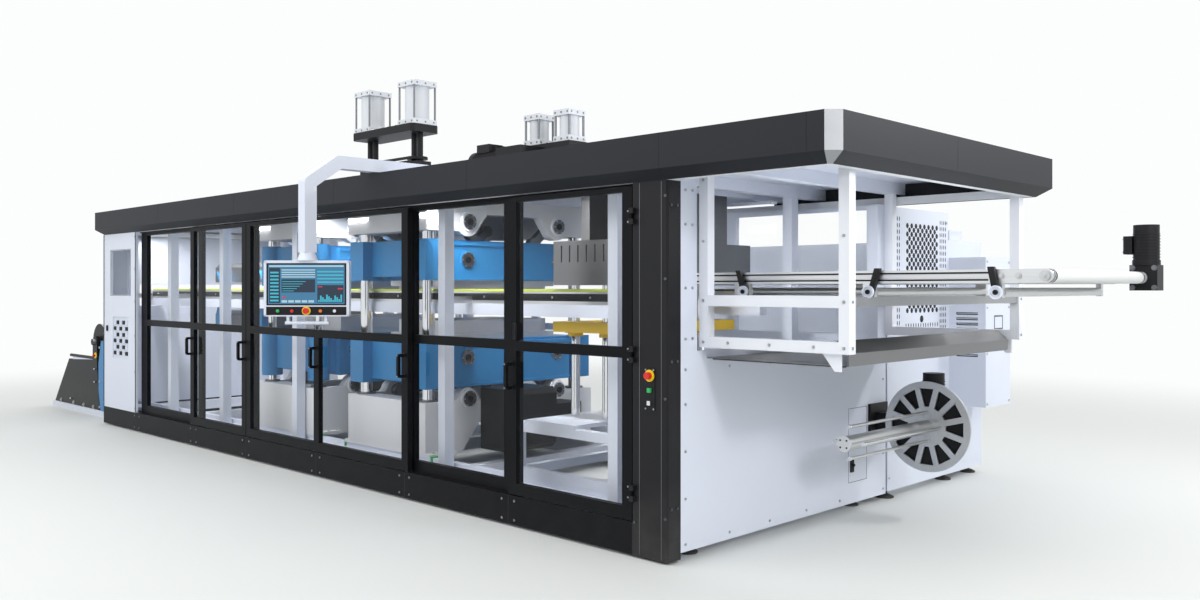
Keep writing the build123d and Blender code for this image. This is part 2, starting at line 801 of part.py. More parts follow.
def tool(x_mid, spread, z0, z1, lip):
    """A mould or cutting tool: a bolster plate and a narrower block."""
    reach = spread / 2 - 120
    bolster = (z0, z0 + 45) if lip > 0 else (z1 - 45, z1)
    block = slab(x_mid - reach + 60, x_mid + reach - 60, tool_inset + 40, body_depth - tool_inset - 40, z0, z1)
    return block + slab(x_mid - reach, x_mid + reach, tool_inset, body_depth - tool_inset, *bolster)


tools = []
for x_mid, spread, _, _ in presses:
    tools.append(tool(x_mid, spread, lower_platen_top, lower_platen_top + lower_tool_height, 1))
    tools.append(tool(x_mid, spread, upper_platen_bottom + 30 - upper_tool_height, upper_platen_bottom, -1))
nodes["press_tools"] = group(tools)

# Drive housings on the outfeed side of each press base, each with its servo motor
drives = []
for x_mid, spread, _, _ in presses:
    x0 = x_mid + spread / 2
    drive = slab(x0, x0 + drive_length, drive_front, drive_back, rail_top + 10, drive_top)
    drive = chamfer(drive.edges().filter_by(Axis.Y).sort_by(Axis.X)[-2:], drive_bevel)
    servo_x = x0 + (drive_length - servo_side) / 2
    drive += slab(servo_x, servo_x + servo_side, drive_back, drive_back + servo_length,
                  rail_top + servo_rise, rail_top + servo_rise + servo_side)
    drives.append(drive)
nodes["press_drives"] = group(drives)

# Sheet line: two chain rails on arms from the posts, each over a wide side beam
rail_parts = []
rail_start, rail_end = beam_start + 60, stacker_end - 100
for y, arm_y in ((chain_rail_inset, post_inset + half_post),
                 (body_depth - chain_rail_inset - chain_rail_width, body_depth - chain_rail_inset)):
    arms = [slab(rail_start, rail_end, y, y + chain_rail_width, chain_rail_bottom,
                 chain_rail_bottom + chain_rail_height)]
    low_y, high_y = (arm_y, y) if arm_y < y else (y + chain_rail_width, body_depth - post_inset - half_post)
    arms += [slab(x - 30, x + 30, low_y, high_y, chain_rail_bottom, chain_rail_bottom + 50)
             for x in post_stations[:-1] if x != press_post]
    rail_parts.append(joined(arms))
nodes["chain_rails"] = group(rail_parts)
nodes["rail_beams"] = group([
    slab(rail_start, rail_end, y, y + chain_rail_width, chain_rail_bottom - rail_beam_height, chain_rail_bottom)
    for y in (chain_rail_inset, body_depth - chain_rail_inset - chain_rail_width)])

# Heater hoods above and below the sheet, and the levers that carry them


def hood(z0, z1):
    """A shallow hood with chamfered long edges."""
    box = slab(heater_start, heater_end, heater_inset, body_depth - heater_inset, z0, z1)
    return chamfer(box.edges().filter_by(Axis.X).sort_by(Axis.Z)[-2:], 40)


nodes["heater_hoods"] = group([hood(heater_lower_bottom, heater_lower_bottom + heater_height),
                               hood(heater_upper_bottom, heater_upper_bottom + heater_height)])
levers = []
for x in (heater_start + 160, heater_end - 220):
    lever_y = chain_rail_inset + chain_rail_width
    for y0, y1 in ((lever_y, heater_inset), (body_depth - heater_inset, body_depth - lever_y)):
        low = heater_lower_bottom
        outline = [(x, low + 40), (x + 60, low + 40), (x + 60, low + 150), (x + 190, heater_upper_bottom - 60),
                   (x + 60, heater_upper_bottom + 110), (x, heater_upper_bottom + 110),
                   (x + 110, heater_upper_bottom - 60), (x, low + 170)]
        levers.append(plate_xz(outline, y0, y1))
nodes["heater_levers"] = group(levers)

# Stacker: a welded carriage, chrome columns, the lift table and the hood
stacker_y0, stacker_y1 = 320, body_depth - 320


def ring(x0, x1, y0, y1, z, tube):
    """A flat rectangular ring of square tube with its underside at z."""
    outer = slab(x0, x1, y0, y1, z, z + tube)
    return outer - slab(x0 + tube, x1 - tube, y0 + tube, y1 - tube, z - 5, z + tube + 5)


carriage = [ring(stacker_start, stacker_end, stacker_y0, stacker_y1, rail_top, stacker_tube),
            ring(stacker_start, stacker_end, stacker_y0, stacker_y1, stacker_top - stacker_tube, stacker_tube)]
for x in (stacker_start, stacker_end - stacker_tube):
    for y in (stacker_y0, stacker_y1 - stacker_tube):
        carriage.append(slab(x, x + stacker_tube, y, y + stacker_tube, rail_top, stacker_top))
carriage.append(slab(lift_columns_x[0] - 80, lift_columns_x[1] + 80, stacker_y0, stacker_y1,
                     stacker_top, stacker_top + 25))
nodes["stacker_frame"] = joined(carriage)
column_top = hood_bottom
lift_columns = [rod_z(x, y, stacker_top + 25, column_top, lift_column_radius)
                for x in lift_columns_x for y in both_sides(lift_columns_inset)]
nodes["guide_columns"] = group(press_columns + lift_columns)
table = slab(lift_columns_x[0] - 110, lift_columns_x[1] + 250, lift_columns_inset - 110,
             body_depth - lift_columns_inset + 110, lift_bottom, lift_bottom + lift_thickness)
for x in lift_columns_x:
    for y in both_sides(lift_columns_inset):
        table += rod_z(x, y, lift_bottom - 30, lift_bottom, lift_column_radius + 22)
        table -= rod_z(x, y, lift_bottom - 50, lift_bottom + 100, lift_column_radius + shaft_clearance)
nodes["lift_table"] = table
stacker_hood = slab(hood_start, hood_end, hood_inset, body_depth - hood_inset, hood_bottom, hood_top)
slot_pitch = (hood_end - hood_start) / (hood_slots + 1)
for i in range(hood_slots):
    x = hood_start + (i + 1) * slot_pitch
    stacker_hood -= slab(x - hood_slot_width / 2, x + hood_slot_width / 2, hood_inset, hood_inset + hood_slot_width,
                         hood_bottom + hood_slot_rise, hood_top - hood_slot_margin)
for x in (hood_start + 60, hood_end - 60 - hanger_width):
    stacker_hood += slab(x, x + hanger_width, hood_inset + 200, body_depth - hood_inset - 200, hood_top, post_top)
nodes["stacker_hood"] = stacker_hood

# Outfeed frame hung under the canopy
tube = outfeed_tube


def side_frame(y):
    """One upright side of the outfeed frame, in a plane of constant Y."""
    y0, y1 = y - tube / 2, y + tube / 2
    parts = [slab(outfeed_reach - tube, outfeed_reach, y0, y1, outfeed_bottom, post_top),
             slab(0, tube, y0, y1, outfeed_bottom, post_top),
             slab(0, outfeed_reach, y0, y1, outfeed_bottom, outfeed_bottom + tube),
             slab(0, outfeed_reach, y0, y1, outfeed_mid, outfeed_mid + tube)]
    gusset_x = outfeed_reach - tube
    gusset = [(gusset_x - gusset_length, outfeed_bottom), (gusset_x, outfeed_bottom),
              (gusset_x, outfeed_bottom - gusset_drop), (gusset_x - gusset_tip, outfeed_bottom - gusset_drop)]
    parts.append(plate_xz(gusset, y - 3, y + 3))
    return joined(parts)


nodes["outfeed_frame_front"] = side_frame(outfeed_front)
nodes["outfeed_frame_back"] = side_frame(outfeed_back)
channel_z = outfeed_mid + 5
channel_top = channel_z + channel_height
channel_x = [outfeed_reach - tube, tube + 10]
cross_channels = [slab(x, x + channel_height, outfeed_front + tube / 2, outfeed_back - tube / 2,
                       channel_z, channel_top) for x in channel_x]

# Conveyor
profile_bottom = profile_top - profile_height
roller_z = profile_top - belt_thickness - head_roller_radius
conveyor_sides = []
for y0 in (conveyor_front, conveyor_back - profile_width):
    profile_end = conveyor_head - end_plate_length / 2
    side = slab(conveyor_tail, profile_end, y0, y0 + profile_width, profile_bottom, profile_top)
    outer_y = y0 if y0 == conveyor_front else y0 + profile_width - groove_depth
    for z in (profile_bottom + groove_low, profile_bottom + groove_high):
        side -= slab(conveyor_tail - 5, conveyor_head - end_plate_length, outer_y, outer_y + groove_depth,
                     z, z + groove_width)
    plate_y = y0 if y0 == conveyor_front else y0 + profile_width - end_plate
    side += slab(profile_end - 5, conveyor_head, plate_y, plate_y + end_plate,
                 2 * roller_z - profile_top, profile_top)
    side += rod_y(conveyor_head, roller_z, plate_y, plate_y + end_plate, profile_top - roller_z)
    for x in channel_x:
        side += slab(x, x + channel_height, y0, y0 + profile_width, channel_top, profile_bottom)
    for x in return_roller_x:
        side += slab(x - bracket_width / 2, x + bracket_width / 2, y0, y0 + profile_width,
                     return_roller_z - return_roller_radius - 4, profile_bottom)
    conveyor_sides.append(side)
nodes["conveyor_frame"] = joined(conveyor_sides + cross_channels)
roller_y0, roller_y1 = conveyor_front + profile_width, conveyor_back - profile_width
belt_y0, belt_y1 = roller_y0 + belt_side_gap, roller_y1 - belt_side_gap
tail_x = conveyor_tail + tail_inset
rollers = [rod_y(conveyor_head, roller_z, conveyor_front + end_plate, conveyor_back - end_plate,
                 head_roller_radius),
           rod_y(tail_x, roller_z, roller_y0, roller_y1, head_roller_radius)]
rollers += [rod_y(x, return_roller_z, roller_y0, roller_y1, return_roller_radius) for x in return_roller_x]
nodes["conveyor_rollers"] = group(rollers)
loop_radius = head_roller_radius + belt_clearance
belt_middle = Pos((conveyor_head + tail_x) / 2, 0, 0)
belt_outer = belt_middle * SlotCenterToCenter(conveyor_head - tail_x, 2 * (loop_radius + belt_thickness))
belt_inner = belt_middle * SlotCenterToCenter(conveyor_head - tail_x, 2 * loop_radius)
belt_plane = Plane(origin=(0, belt_y0, roller_z), x_dir=(1, 0, 0), z_dir=(0, -1, 0))
nodes["conveyor_belt"] = extrude(belt_plane * (belt_outer - belt_inner), amount=-(belt_y1 - belt_y0))
gear_x = conveyor_head + 10
gear_y1 = conveyor_back + gear_depth
gear_z = roller_z + gear_side / 2
motor_top = roller_z + motor_height
box_x1 = gear_x - motor_radius + 5
motor_parts = [slab(gear_x - gear_side / 2, gear_x + gear_side / 2, conveyor_back, gear_y1,
                    roller_z - gear_side / 2, gear_z),
               rod_z(gear_x, conveyor_back + gear_depth / 2, gear_z, gear_z + motor_collar, motor_radius + 5),
               rod_z(gear_x, conveyor_back + gear_depth / 2, gear_z + motor_collar, motor_top, motor_radius),
               slab(box_x1 - terminal_box[0], box_x1, conveyor_back + 10, conveyor_back + 10 + terminal_box[1],
                    motor_top - 60 - terminal_box[2], motor_top - 60),
               rod_y(conveyor_head, roller_z, gear_y1, gear_y1 + gear_hub, gear_hub_radius)]
nodes["conveyor_motor"] = joined(motor_parts)

# Product tray under the conveyor
tray_z = end_panel_top - 45
lip_top = tray_z + tray_lip
tray_profile = [(0, tray_z), (tray_length, tray_z), (tray_length, lip_top),
                (tray_length - tray_flange, lip_top + tray_flange - 8),
                (tray_length - tray_flange - tray_sheet, lip_top + tray_flange - 8 - tray_sheet),
                (tray_length - tray_sheet, lip_top - tray_sheet / 2),
                (tray_length - tray_sheet, tray_z + tray_sheet), (0, tray_z + tray_sheet)]
nodes["outfeed_tray"] = plate_xz(tray_profile, outfeed_front + tube / 2 + 10, outfeed_back - tube / 2 - 60)

# Scrap winder: wheel, shaft and rods in one turning piece, and the geared motor that carries it
wheel = rod_y(winder_x, winder_z, winder_wheel_y, winder_wheel_y + winder_thickness, winder_radius)
inner_ring, outer_ring = winder_radius * 0.44, winder_radius * 0.84
half_turn = pi / winder_windows
half_in = inner_ring * tan(half_turn) - winder_spoke / 2
half_out = outer_ring * tan(half_turn) - winder_spoke / 2
for i in range(winder_windows):
    turn = 360 / winder_windows * i
    window = Polygon((-half_in, inner_ring), (half_in, inner_ring), (half_out, outer_ring),
                     (-half_out, outer_ring), align=None)
    window_plane = Plane(origin=(winder_x, winder_wheel_y - 5, winder_z), x_dir=(1, 0, 0), z_dir=(0, -1, 0))
    wheel -= extrude(window_plane * (Rot(0, 0, turn) * window), amount=-(winder_thickness + 10))
shaft_end = winder_wheel_y + winder_thickness
rotor = wheel + rod_y(winder_x, winder_z, winder_shaft_start, winder_wheel_y, winder_shaft_radius)
for i in range(4):
    turn = radians(90 * i)
    rotor += rod_y(winder_x + winder_rod_ring * cos(turn), winder_z + winder_rod_ring * sin(turn),
                   winder_shaft_start + 60, winder_wheel_y, winder_rod_radius)
rotor += rod_y(winder_x, winder_z, winder_shaft_start - 10, winder_shaft_start, winder_shaft_radius + 5)
gearbox_y0 = shaft_end + 8
gearbox_y1 = gearbox_y0 + winder_gear_length
gearbox_y = (gearbox_y0 + gearbox_y1) / 2
gearbox_x0 = winder_x - winder_gear_side / 2
gearbox_top = winder_z + winder_gear_height / 2
rotor += rod_y(winder_x, winder_z, shaft_end, gearbox_y1 + 6, winder_stub_radius)
nodes["winder_rotor"] = rotor
drive = [slab(gearbox_x0, gearbox_x0 + winder_gear_side, gearbox_y0, gearbox_y1,
              gearbox_top - winder_gear_height, gearbox_top),
         rod_y(winder_x, winder_z, gearbox_y0, gearbox_y0 + winder_back_sheet, winder_back_radius),
         rod_z(winder_x, gearbox_y, gearbox_top, gearbox_top + winder_motor_collar, winder_motor_radius + 8),
         rod_z(winder_x, gearbox_y, gearbox_top + winder_motor_collar, winder_z + winder_motor_height,
               winder_motor_radius),
         slab(0, gearbox_x0, gearbox_y0 + 10, gearbox_y1 - 10, winder_z - 60, winder_z + 60),
         slab(0, winder_flange, gearbox_y0 - 60, body_depth - 5, winder_z - winder_flange_height / 2,
              winder_z + winder_flange_height / 2)]
winder_drive = joined(drive) - rod_y(winder_x, winder_z, gearbox_y0 - 5, gearbox_y1 + 5,
                                     winder_stub_radius + shaft_clearance)
nodes["winder_drive"] = winder_drive

# Cabinets and the cooling unit behind the end
nodes["service_cabinets"] = joined([
    slab(-tower_depth, 0, cabinet_front, cabinet_split, foot_height, cabinet_top - 80),
    slab(-cabinet_length, 0, cabinet_split, cabinet_back, foot_height, second_cabinet_top)])
cooler = slab(0, cooler_depth, cabinet_split + 20, cabinet_split + cooler_width, cooler_bottom, cooler_top)
louvre_start = cooler_bottom + 380
for i in range(louvre_count):
    z = louvre_start + i * louvre_pitch
    cooler -= slab(60, cooler_depth - 60, cabinet_split, cabinet_split + 38, z, z + louvre_pitch / 2)
nodes["cooling_unit"] = cooler

# Plug drive over the forming press and the cylinders on it


def tie_rod_cylinder(x, y, z, side, height):
    """A cylinder between two square caps held by four tie rods."""
    half = side / 2
    barrel = rod_z(x, y, z + cylinder_cap, z + height - cylinder_cap, half * 0.86)
    parts = [barrel, slab(x - half, x + half, y - half, y + half, z, z + cylinder_cap),
             slab(x - half, x + half, y - half, y + half, z + height - cylinder_cap, z + height)]
    reach = half - tie_rod_radius - 4
    for dx in (-reach, reach):
        for dy in (-reach, reach):
            rod = Pos(x + dx, y + dy, z + cylinder_cap) * RegularPolygon(tie_rod_radius, pin_facets)
            parts.append(extrude(rod, amount=height - 2 * cylinder_cap))
    return joined(parts)


plate_top = plug_plate_bottom + plug_plate_thickness
half_pitch = cylinder_pitch / 2
half_plate, half_plate_width = plug_plate_length / 2, plug_plate_width / 2
plug_plate = slab(plug_x - half_plate, plug_x + half_plate, middle_y - half_plate_width,
                  middle_y + half_plate_width, plug_plate_bottom, plate_top)
roof_top = roof_under + roof_sheet
mount_top = roof_top + 60
plug_plate = chamfer(plug_plate.edges().filter_by(Axis.Z), 30)
plug_parts = [plug_plate]
chain_z = roof_top + chain_loop_rise
half_chain = chain_loop_width / 2
for x in (plug_x - half_pitch, plug_x + half_pitch):
    for dx in (-plug_column_pitch / 2, plug_column_pitch / 2):
        plug_parts.append(rod_z(x + dx, middle_y, mount_top, plug_plate_bottom, plug_column_radius))
    for z in (mount_top, chain_z - 110):
        plug_parts.append(slab(x - 105, x + 105, middle_y - 75, middle_y + 75, z, z + clamp_height))
    sprocket = Pos(x, middle_y, chain_z) * RegularPolygon(half_chain, link_facets)
    plug_parts.append(extrude(sprocket, amount=chain_height))
for dy in (-half_chain + 12, half_chain - 12):
    plug_parts.append(slab(plug_x - half_pitch, plug_x + half_pitch, middle_y + dy - 8, middle_y + dy + 8,
                           chain_z, chain_z + chain_height))
plug_parts.append(slab(plug_x - half_pitch - 130, plug_x + half_pitch + 130, middle_y - 240, middle_y + 240,
                       roof_top, mount_top))
nodes["plug_frame"] = joined(plug_parts)
cylinders = [tie_rod_cylinder(plug_x + side * half_pitch, middle_y, plate_top, cylinder_side, cylinder_height)
             for side in (-1, 1)]
half_pedestal = (small_cylinder_pitch + small_cylinder_side) / 2 + pedestal_margin
pedestal_x0 = small_cylinder_x - half_pedestal
pedestal_front = middle_y - small_cylinder_side / 2 - pedestal_margin
pedestal_back = middle_y + small_cylinder_side / 2 + pedestal_margin
motor_y = pedestal_front - roof_motor_radius - 30
motor_x0 = pedestal_x0 - roof_motor_length + 50
motor_x1 = motor_x0 + roof_motor_length
motor_z = roof_top + roof_motor_height
roof_gear_top = motor_z + roof_gear_side / 2
nodes["roof_drive"] = joined([
    slab(pedestal_x0, small_cylinder_x + half_pedestal, pedestal_front, pedestal_back, roof_top, pedestal_top),
    slab(pedestal_x0, small_cylinder_x, motor_y - roof_gear_side / 2, pedestal_front, roof_top, roof_gear_top - 20),
    slab(motor_x1 - 60, pedestal_x0, motor_y - roof_gear_side / 2, motor_y + roof_gear_side / 2,
         roof_top, roof_gear_top),
    rod_x(motor_y, motor_z, motor_x0, motor_x1, roof_motor_radius),
    slab(motor_x0 + 80, motor_x0 + 230, motor_y - 70, motor_y + 70, motor_z + 75, motor_z + 140),
    slab(motor_x0 + 30, motor_x0 + 90, motor_y - 90, motor_y + 90, roof_top, motor_z)])
cylinders += [tie_rod_cylinder(small_cylinder_x + side * small_cylinder_pitch / 2, middle_y, pedestal_top,
                               small_cylinder_side, small_cylinder_height) for side in (-1, 1)]
nodes["tie_rod_cylinders"] = group(cylinders)

# Arm of the control panel: out over the canopy, down at 45 degrees, then upright
half_arm = arm_size / 2
elbow = 225
arm_path = [(arm_root, arm_level), (arm_out + elbow, arm_level), (arm_out, arm_level - elbow * 0.7),
            (arm_out, arm_bottom)]


def arm_run(start, end):
    """A straight square tube between two points of the YZ plane, with square ends."""
    run = Vector(0, end[0] - start[0], end[1] - start[1])
    across = Vector(0, -run.Z, run.Y).normalized() * half_arm
    corners = [(start[0] + across.Y, start[1] + across.Z), (end[0] + across.Y, end[1] + across.Z),
               (end[0] - across.Y, end[1] - across.Z), (start[0] - across.Y, start[1] - across.Z)]
    return plate_yz(corners, arm_x - half_arm, arm_x + half_arm)


arm_parts = [arm_run(a, b) for a, b in zip(arm_path, arm_path[1:])]
arm_parts += [rod_x(y, z, arm_x - half_arm, arm_x + half_arm, half_arm) for y, z in arm_path[1:3]]
arm_parts.append(slab(arm_x - half_arm, arm_x + half_arm, arm_root - 10, arm_root + arm_size,
                      roof_top, arm_level + half_arm))
arm = joined(arm_parts)
arm -= rod_z(arm_x, arm_out, arm_bottom - 10, arm_bottom + 80, spigot_radius + shaft_clearance)
nodes["panel_arm"] = arm

# Control panel: housing, collar, spigot and grab bar, turned towards the outfeed corner
collar_top = arm_bottom - 0.5
panel_top = collar_top - collar_height
panel_bottom = panel_top - panel_height
half_width, half_depth = panel_width / 2, panel_depth / 2
housing = slab(-half_width, half_width, -half_depth, half_depth, panel_bottom, panel_top)
housing = fillet(housing.edges().filter_by(Axis.Y), panel_corner)
housing -= slab(screen_border - half_width, half_width - screen_border, -half_depth - 5,
                screen_recess - half_depth, panel_bottom + button_row, panel_top - screen_border)
collar = Pos(0, 0, panel_top + collar_height / 2) * Cone(collar_low_radius, collar_high_radius, collar_height)
panel_parts = [housing, collar, rod_z(0, 0, collar_top, arm_bottom + 70, spigot_radius)]
grab_y = grab_radius + 8 - half_depth
for x in (-grab_arm_x, grab_arm_x):
    panel_parts.append(slab(x - grab_arm_width / 2, x + grab_arm_width / 2, grab_y - grab_radius + 2,
                            half_depth - 22, panel_bottom - grab_drop, panel_bottom))
panel_parts.append(rod_x(grab_y, panel_bottom - grab_drop, -grab_half_length, grab_half_length, grab_radius))
button_count = 5
button_pitch = panel_width / (button_count + 1)
for i in range(button_count):
    x = (i + 1) * button_pitch - half_width
    is_stop = i == button_count // 2
    reach = panel_stop_proud if is_stop else panel_button_proud
    radius = panel_stop_radius if is_stop else panel_button_radius
    panel_parts.append(rod_y(x, panel_bottom + button_row_height, -half_depth - reach, -half_depth, radius))
nodes["control_panel"] = Pos(arm_x, arm_out, 0) * Rot(0, 0, panel_turn) * joined(panel_parts)

# Unwinder before the infeed: floor rails, side plates, blue column and the reel shaft
unwinder_start = -body_length - unwinder_length
rails = []
for y in (unwinder_front, unwinder_back - unwinder_rail_width):
    rails.append(slab(unwinder_start, -body_length, y, y + unwinder_rail_width, 0, unwinder_rail))
for x in (unwinder_start + 200, -body_length - 180):
    rails.append(slab(x, x + unwinder_rail_width, unwinder_front, unwinder_back, 5, unwinder_rail - 5))
nodes["unwinder_base"] = joined(rails)
plate_points = [(unwinder_start + 20, unwinder_rail), (unwinder_start + 530, unwinder_cheek_top),
                (reel_x + 70, unwinder_cheek_top), (reel_x + 150, unwinder_rail)]
column_x = reel_x + 150
column_points = [(column_x + 60, unwinder_rail), (column_x + column_width, unwinder_rail),
                 (column_x + column_width, reel_z + 20), (column_x + 80, reel_z + 20),
                 (column_x, unwinder_cheek_top), (column_x, 300)]
bar_top = unwinder_cheek_top + bar_height
cheeks, columns = [], []
for y in (unwinder_front + 20, unwinder_back - 60):
    cheek = plate_xz(plate_points, y, y + cheek_sheet)
    cheek += slab(reel_x - 70, reel_x + 70, y, y + cheek_sheet, unwinder_cheek_top - 20, reel_z)
    cheek += rod_y(reel_x, reel_z, y, y + cheek_sheet, 70)
    cheek += slab(reel_x - bar_length, reel_x, y, y + cheek_sheet, unwinder_cheek_top - 5, bar_top)
    cheek += rod_x(y + cheek_sheet / 2, bar_top + lever_radius - 2, reel_x - bar_length - 130, reel_x,
                   lever_radius)
    cheek -= rod_y(reel_x, reel_z, y - 5, y + cheek_sheet + 5, reel_shaft_radius + shaft_clearance)
    cheeks.append(cheek)
    columns.append(plate_xz(column_points, y - 10, y + cheek_sheet))
nodes["unwinder_cheeks"] = group(cheeks)
nodes["unwinder_columns"] = group(columns)
reel = rod_y(reel_x, reel_z, unwinder_front - 10, unwinder_back + 10, reel_shaft_radius)
for y in (unwinder_front + 75, unwinder_back - 95):
    reel += rod_y(reel_x, reel_z, y, y + 20, reel_radius)
nodes["unwinder_reel"] = reel

# Set the origin in the middle of the footprint, on the floor, and write each node
boxes = [shape.bounding_box() for shape in nodes.values()]
datum_x = -(min(box.min.X for box in boxes) + max(box.max.X for box in boxes)) / 2
datum_y = -(min(box.min.Y for box in boxes) + max(box.max.Y for box in boxes)) / 2
lowest = min(box.min.Z for box in boxes)
highest = max(box.max.Z for box in boxes)
print(f"datum shift {datum_x:.4f} {datum_y:.4f}, lowest {lowest:.4f}, highest {highest:.4f}")
print(f"length {2 * (max(box.max.X for box in boxes) + datum_x):.2f}, "
      f"width {2 * (max(box.max.Y for box in boxes) + datum_y):.2f}")
os.makedirs("parts", exist_ok=True)
for name, shape in nodes.items():
    export_step(Pos(datum_x, datum_y, 0) * shape, f"parts/{name}.step")
print(len(nodes), "nodes written")
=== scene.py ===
# %% Load the frame
import bpy
import bmesh
import json
from math import atan2, cos, pi, radians, sin
from mathutils import Euler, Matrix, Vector


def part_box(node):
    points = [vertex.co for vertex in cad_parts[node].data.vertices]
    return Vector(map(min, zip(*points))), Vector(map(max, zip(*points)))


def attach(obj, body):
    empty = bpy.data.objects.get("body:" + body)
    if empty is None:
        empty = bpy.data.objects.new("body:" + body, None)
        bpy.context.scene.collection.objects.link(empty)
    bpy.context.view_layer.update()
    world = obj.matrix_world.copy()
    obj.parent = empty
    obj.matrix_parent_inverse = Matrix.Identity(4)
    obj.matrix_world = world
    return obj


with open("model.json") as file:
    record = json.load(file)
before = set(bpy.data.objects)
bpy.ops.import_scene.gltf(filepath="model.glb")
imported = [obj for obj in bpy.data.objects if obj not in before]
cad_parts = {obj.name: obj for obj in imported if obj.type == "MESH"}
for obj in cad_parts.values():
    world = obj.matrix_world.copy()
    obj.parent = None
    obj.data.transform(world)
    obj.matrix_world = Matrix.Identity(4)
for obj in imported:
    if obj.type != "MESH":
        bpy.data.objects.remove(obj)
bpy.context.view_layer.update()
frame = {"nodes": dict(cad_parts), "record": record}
cad = frame["nodes"]
print("pieces from the frame:", len(cad))

# %% [markdown]
# The machine stands on a pale studio floor. Its own plan starts at the outfeed end plate: that plate
# is the plane where x is the machine's zero, and the glazed front is where y is its zero. Every new
# piece below is placed from those two planes, so the first step is to read them from the frame.

# %% Reference planes
END_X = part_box("end_panel")[1][0]
FRONT_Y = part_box("skirt_panels")[0][1]
INFEED_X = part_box("infeed_end_wall")[0][0] - END_X
BACK_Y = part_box("skirt_panels")[1][1] - FRONT_Y


def at(x, y, z):
    """A place given from the end plate, the glazed front and the floor."""
    return Vector((END_X + x, FRONT_Y + y, z))


print("body length", round(-INFEED_X, 3), "depth", round(BACK_Y, 3))

# %% [markdown]
# The photograph is taken at head height with a fairly wide lens, almost along the diagonal of the
# outfeed corner. A level camera keeps all uprights parallel, and the small vertical shift puts the
# horizon a little above the middle of the picture, as it is there.

# %% Camera
CAMERA_PLACE = at(3.549, -4.145, 1.5)
CAMERA_TURN = radians(44.4)
FOCAL_PIXELS = 1010
IMAGE_WIDTH = 1200
SENSOR_WIDTH = 36
HORIZON_SHIFT = -0.01
camera_data = bpy.data.cameras.new("camera")
camera_data.sensor_width = SENSOR_WIDTH
camera_data.lens = FOCAL_PIXELS / IMAGE_WIDTH * SENSOR_WIDTH
camera_data.shift_y = HORIZON_SHIFT
camera_data.clip_end = 200
camera = bpy.data.objects.new("camera", camera_data)
camera.location = CAMERA_PLACE
camera.rotation_euler = (radians(90), 0, CAMERA_TURN)
bpy.context.scene.collection.objects.link(camera)
bpy.context.scene.camera = camera
print("lens", round(camera_data.lens, 2), "mm")

# %% [markdown]
# Light and finishes are made of shader nodes. A node's input either takes a plain value or a link
# from another node, so one helper does both, and a second one adds a node with its inputs filled.

# %% Helpers for nodes


def feed(tree, node, sockets):
    """Fill a node's inputs: another node's socket is linked, anything else is a plain value."""
    for key, value in sockets.items():
        if isinstance(value, bpy.types.NodeSocket):
            tree.links.new(value, node.inputs[key])
        else:
            node.inputs[key].default_value = value
    return node


def add_node(tree, kind, sockets=None, **settings):
    """A node with its properties set by name and its inputs filled."""
    node = tree.nodes.new(f"ShaderNode{kind}")
    for key, value in settings.items():
        setattr(node, key, value)
    return feed(tree, node, sockets or {})


def sum_of(tree, operation, *terms):
    """The result of a calculation with two or three values or sockets."""
    return add_node(tree, "Math", dict(enumerate(terms)), operation=operation).outputs[0]


def object_place(tree):
    """The place of each point in the object's own directions, in metres."""
    return add_node(tree, "TexCoord").outputs["Object"]


def new_material(name):
    """A material, its node tree and its shader."""
    material = bpy.data.materials.new(name)
    material.use_nodes = True
    return material, material.node_tree, material.node_tree.nodes["Principled BSDF"]


print("helpers for nodes ready")

# %% [markdown]
# Studio light is soft: a bright surround, large panels above the front and at the outfeed end, and
# the machine's own light strips under its roof. The surround is white for the camera, for
# reflections and through glass, and dimmer as a lamp, so the white sheets keep their colour.

# %% Surround
BACKGROUND = (0.975, 0.99, 0.99, 1)
LAMP_STRENGTH = 0.80
SEEN_STRENGTH = 1.0


def seen_ray(tree):
    """One where a surface is looked at directly, in a reflection or through glass."""
    ray = add_node(tree, "LightPath").outputs
    seen = sum_of(tree, "MAXIMUM", ray["Is Camera Ray"], ray["Is Glossy Ray"])
    return sum_of(tree, "MAXIMUM", seen, ray["Is Transmission Ray"])


world = bpy.data.worlds.new("studio")
world.use_nodes = True
bpy.context.scene.world = world
tree = world.node_tree
strength = add_node(tree, "MapRange", {"Value": seen_ray(tree), "To Min": LAMP_STRENGTH,
                                       "To Max": SEEN_STRENGTH})
feed(tree, tree.nodes["Background"], {"Color": BACKGROUND, "Strength": strength.outputs["Result"]})
bpy.context.scene.view_settings.view_transform = "Standard"
print("surround", world.name)

# %% [markdown]
# A rectangular lamp works as a softbox in a photo studio does: the larger it is, the softer the edges
# of the shadows. Each lamp looks at a target, and its turn is worked out from the line between the
# two. The long ones under the roof give the light of the strips that are modelled there.

# %% Lamps


def soft_lamp(name, place, target, size, power, spread=180):
    """A rectangular lamp that looks at a target and spreads its light over an angle."""
    data = bpy.data.lights.new(name, "AREA")
    data.shape = "RECTANGLE"
    data.size, data.size_y = size
    data.energy = power
    data.spread = radians(spread)
    lamp = bpy.data.objects.new(name, data)
    lamp.location = at(*place)
    aim = at(*target) - at(*place)
    lamp.rotation_euler = (atan2(aim.xy.length, -aim.z), 0, atan2(aim.y, aim.x) - pi / 2)
    bpy.context.scene.collection.objects.link(lamp)


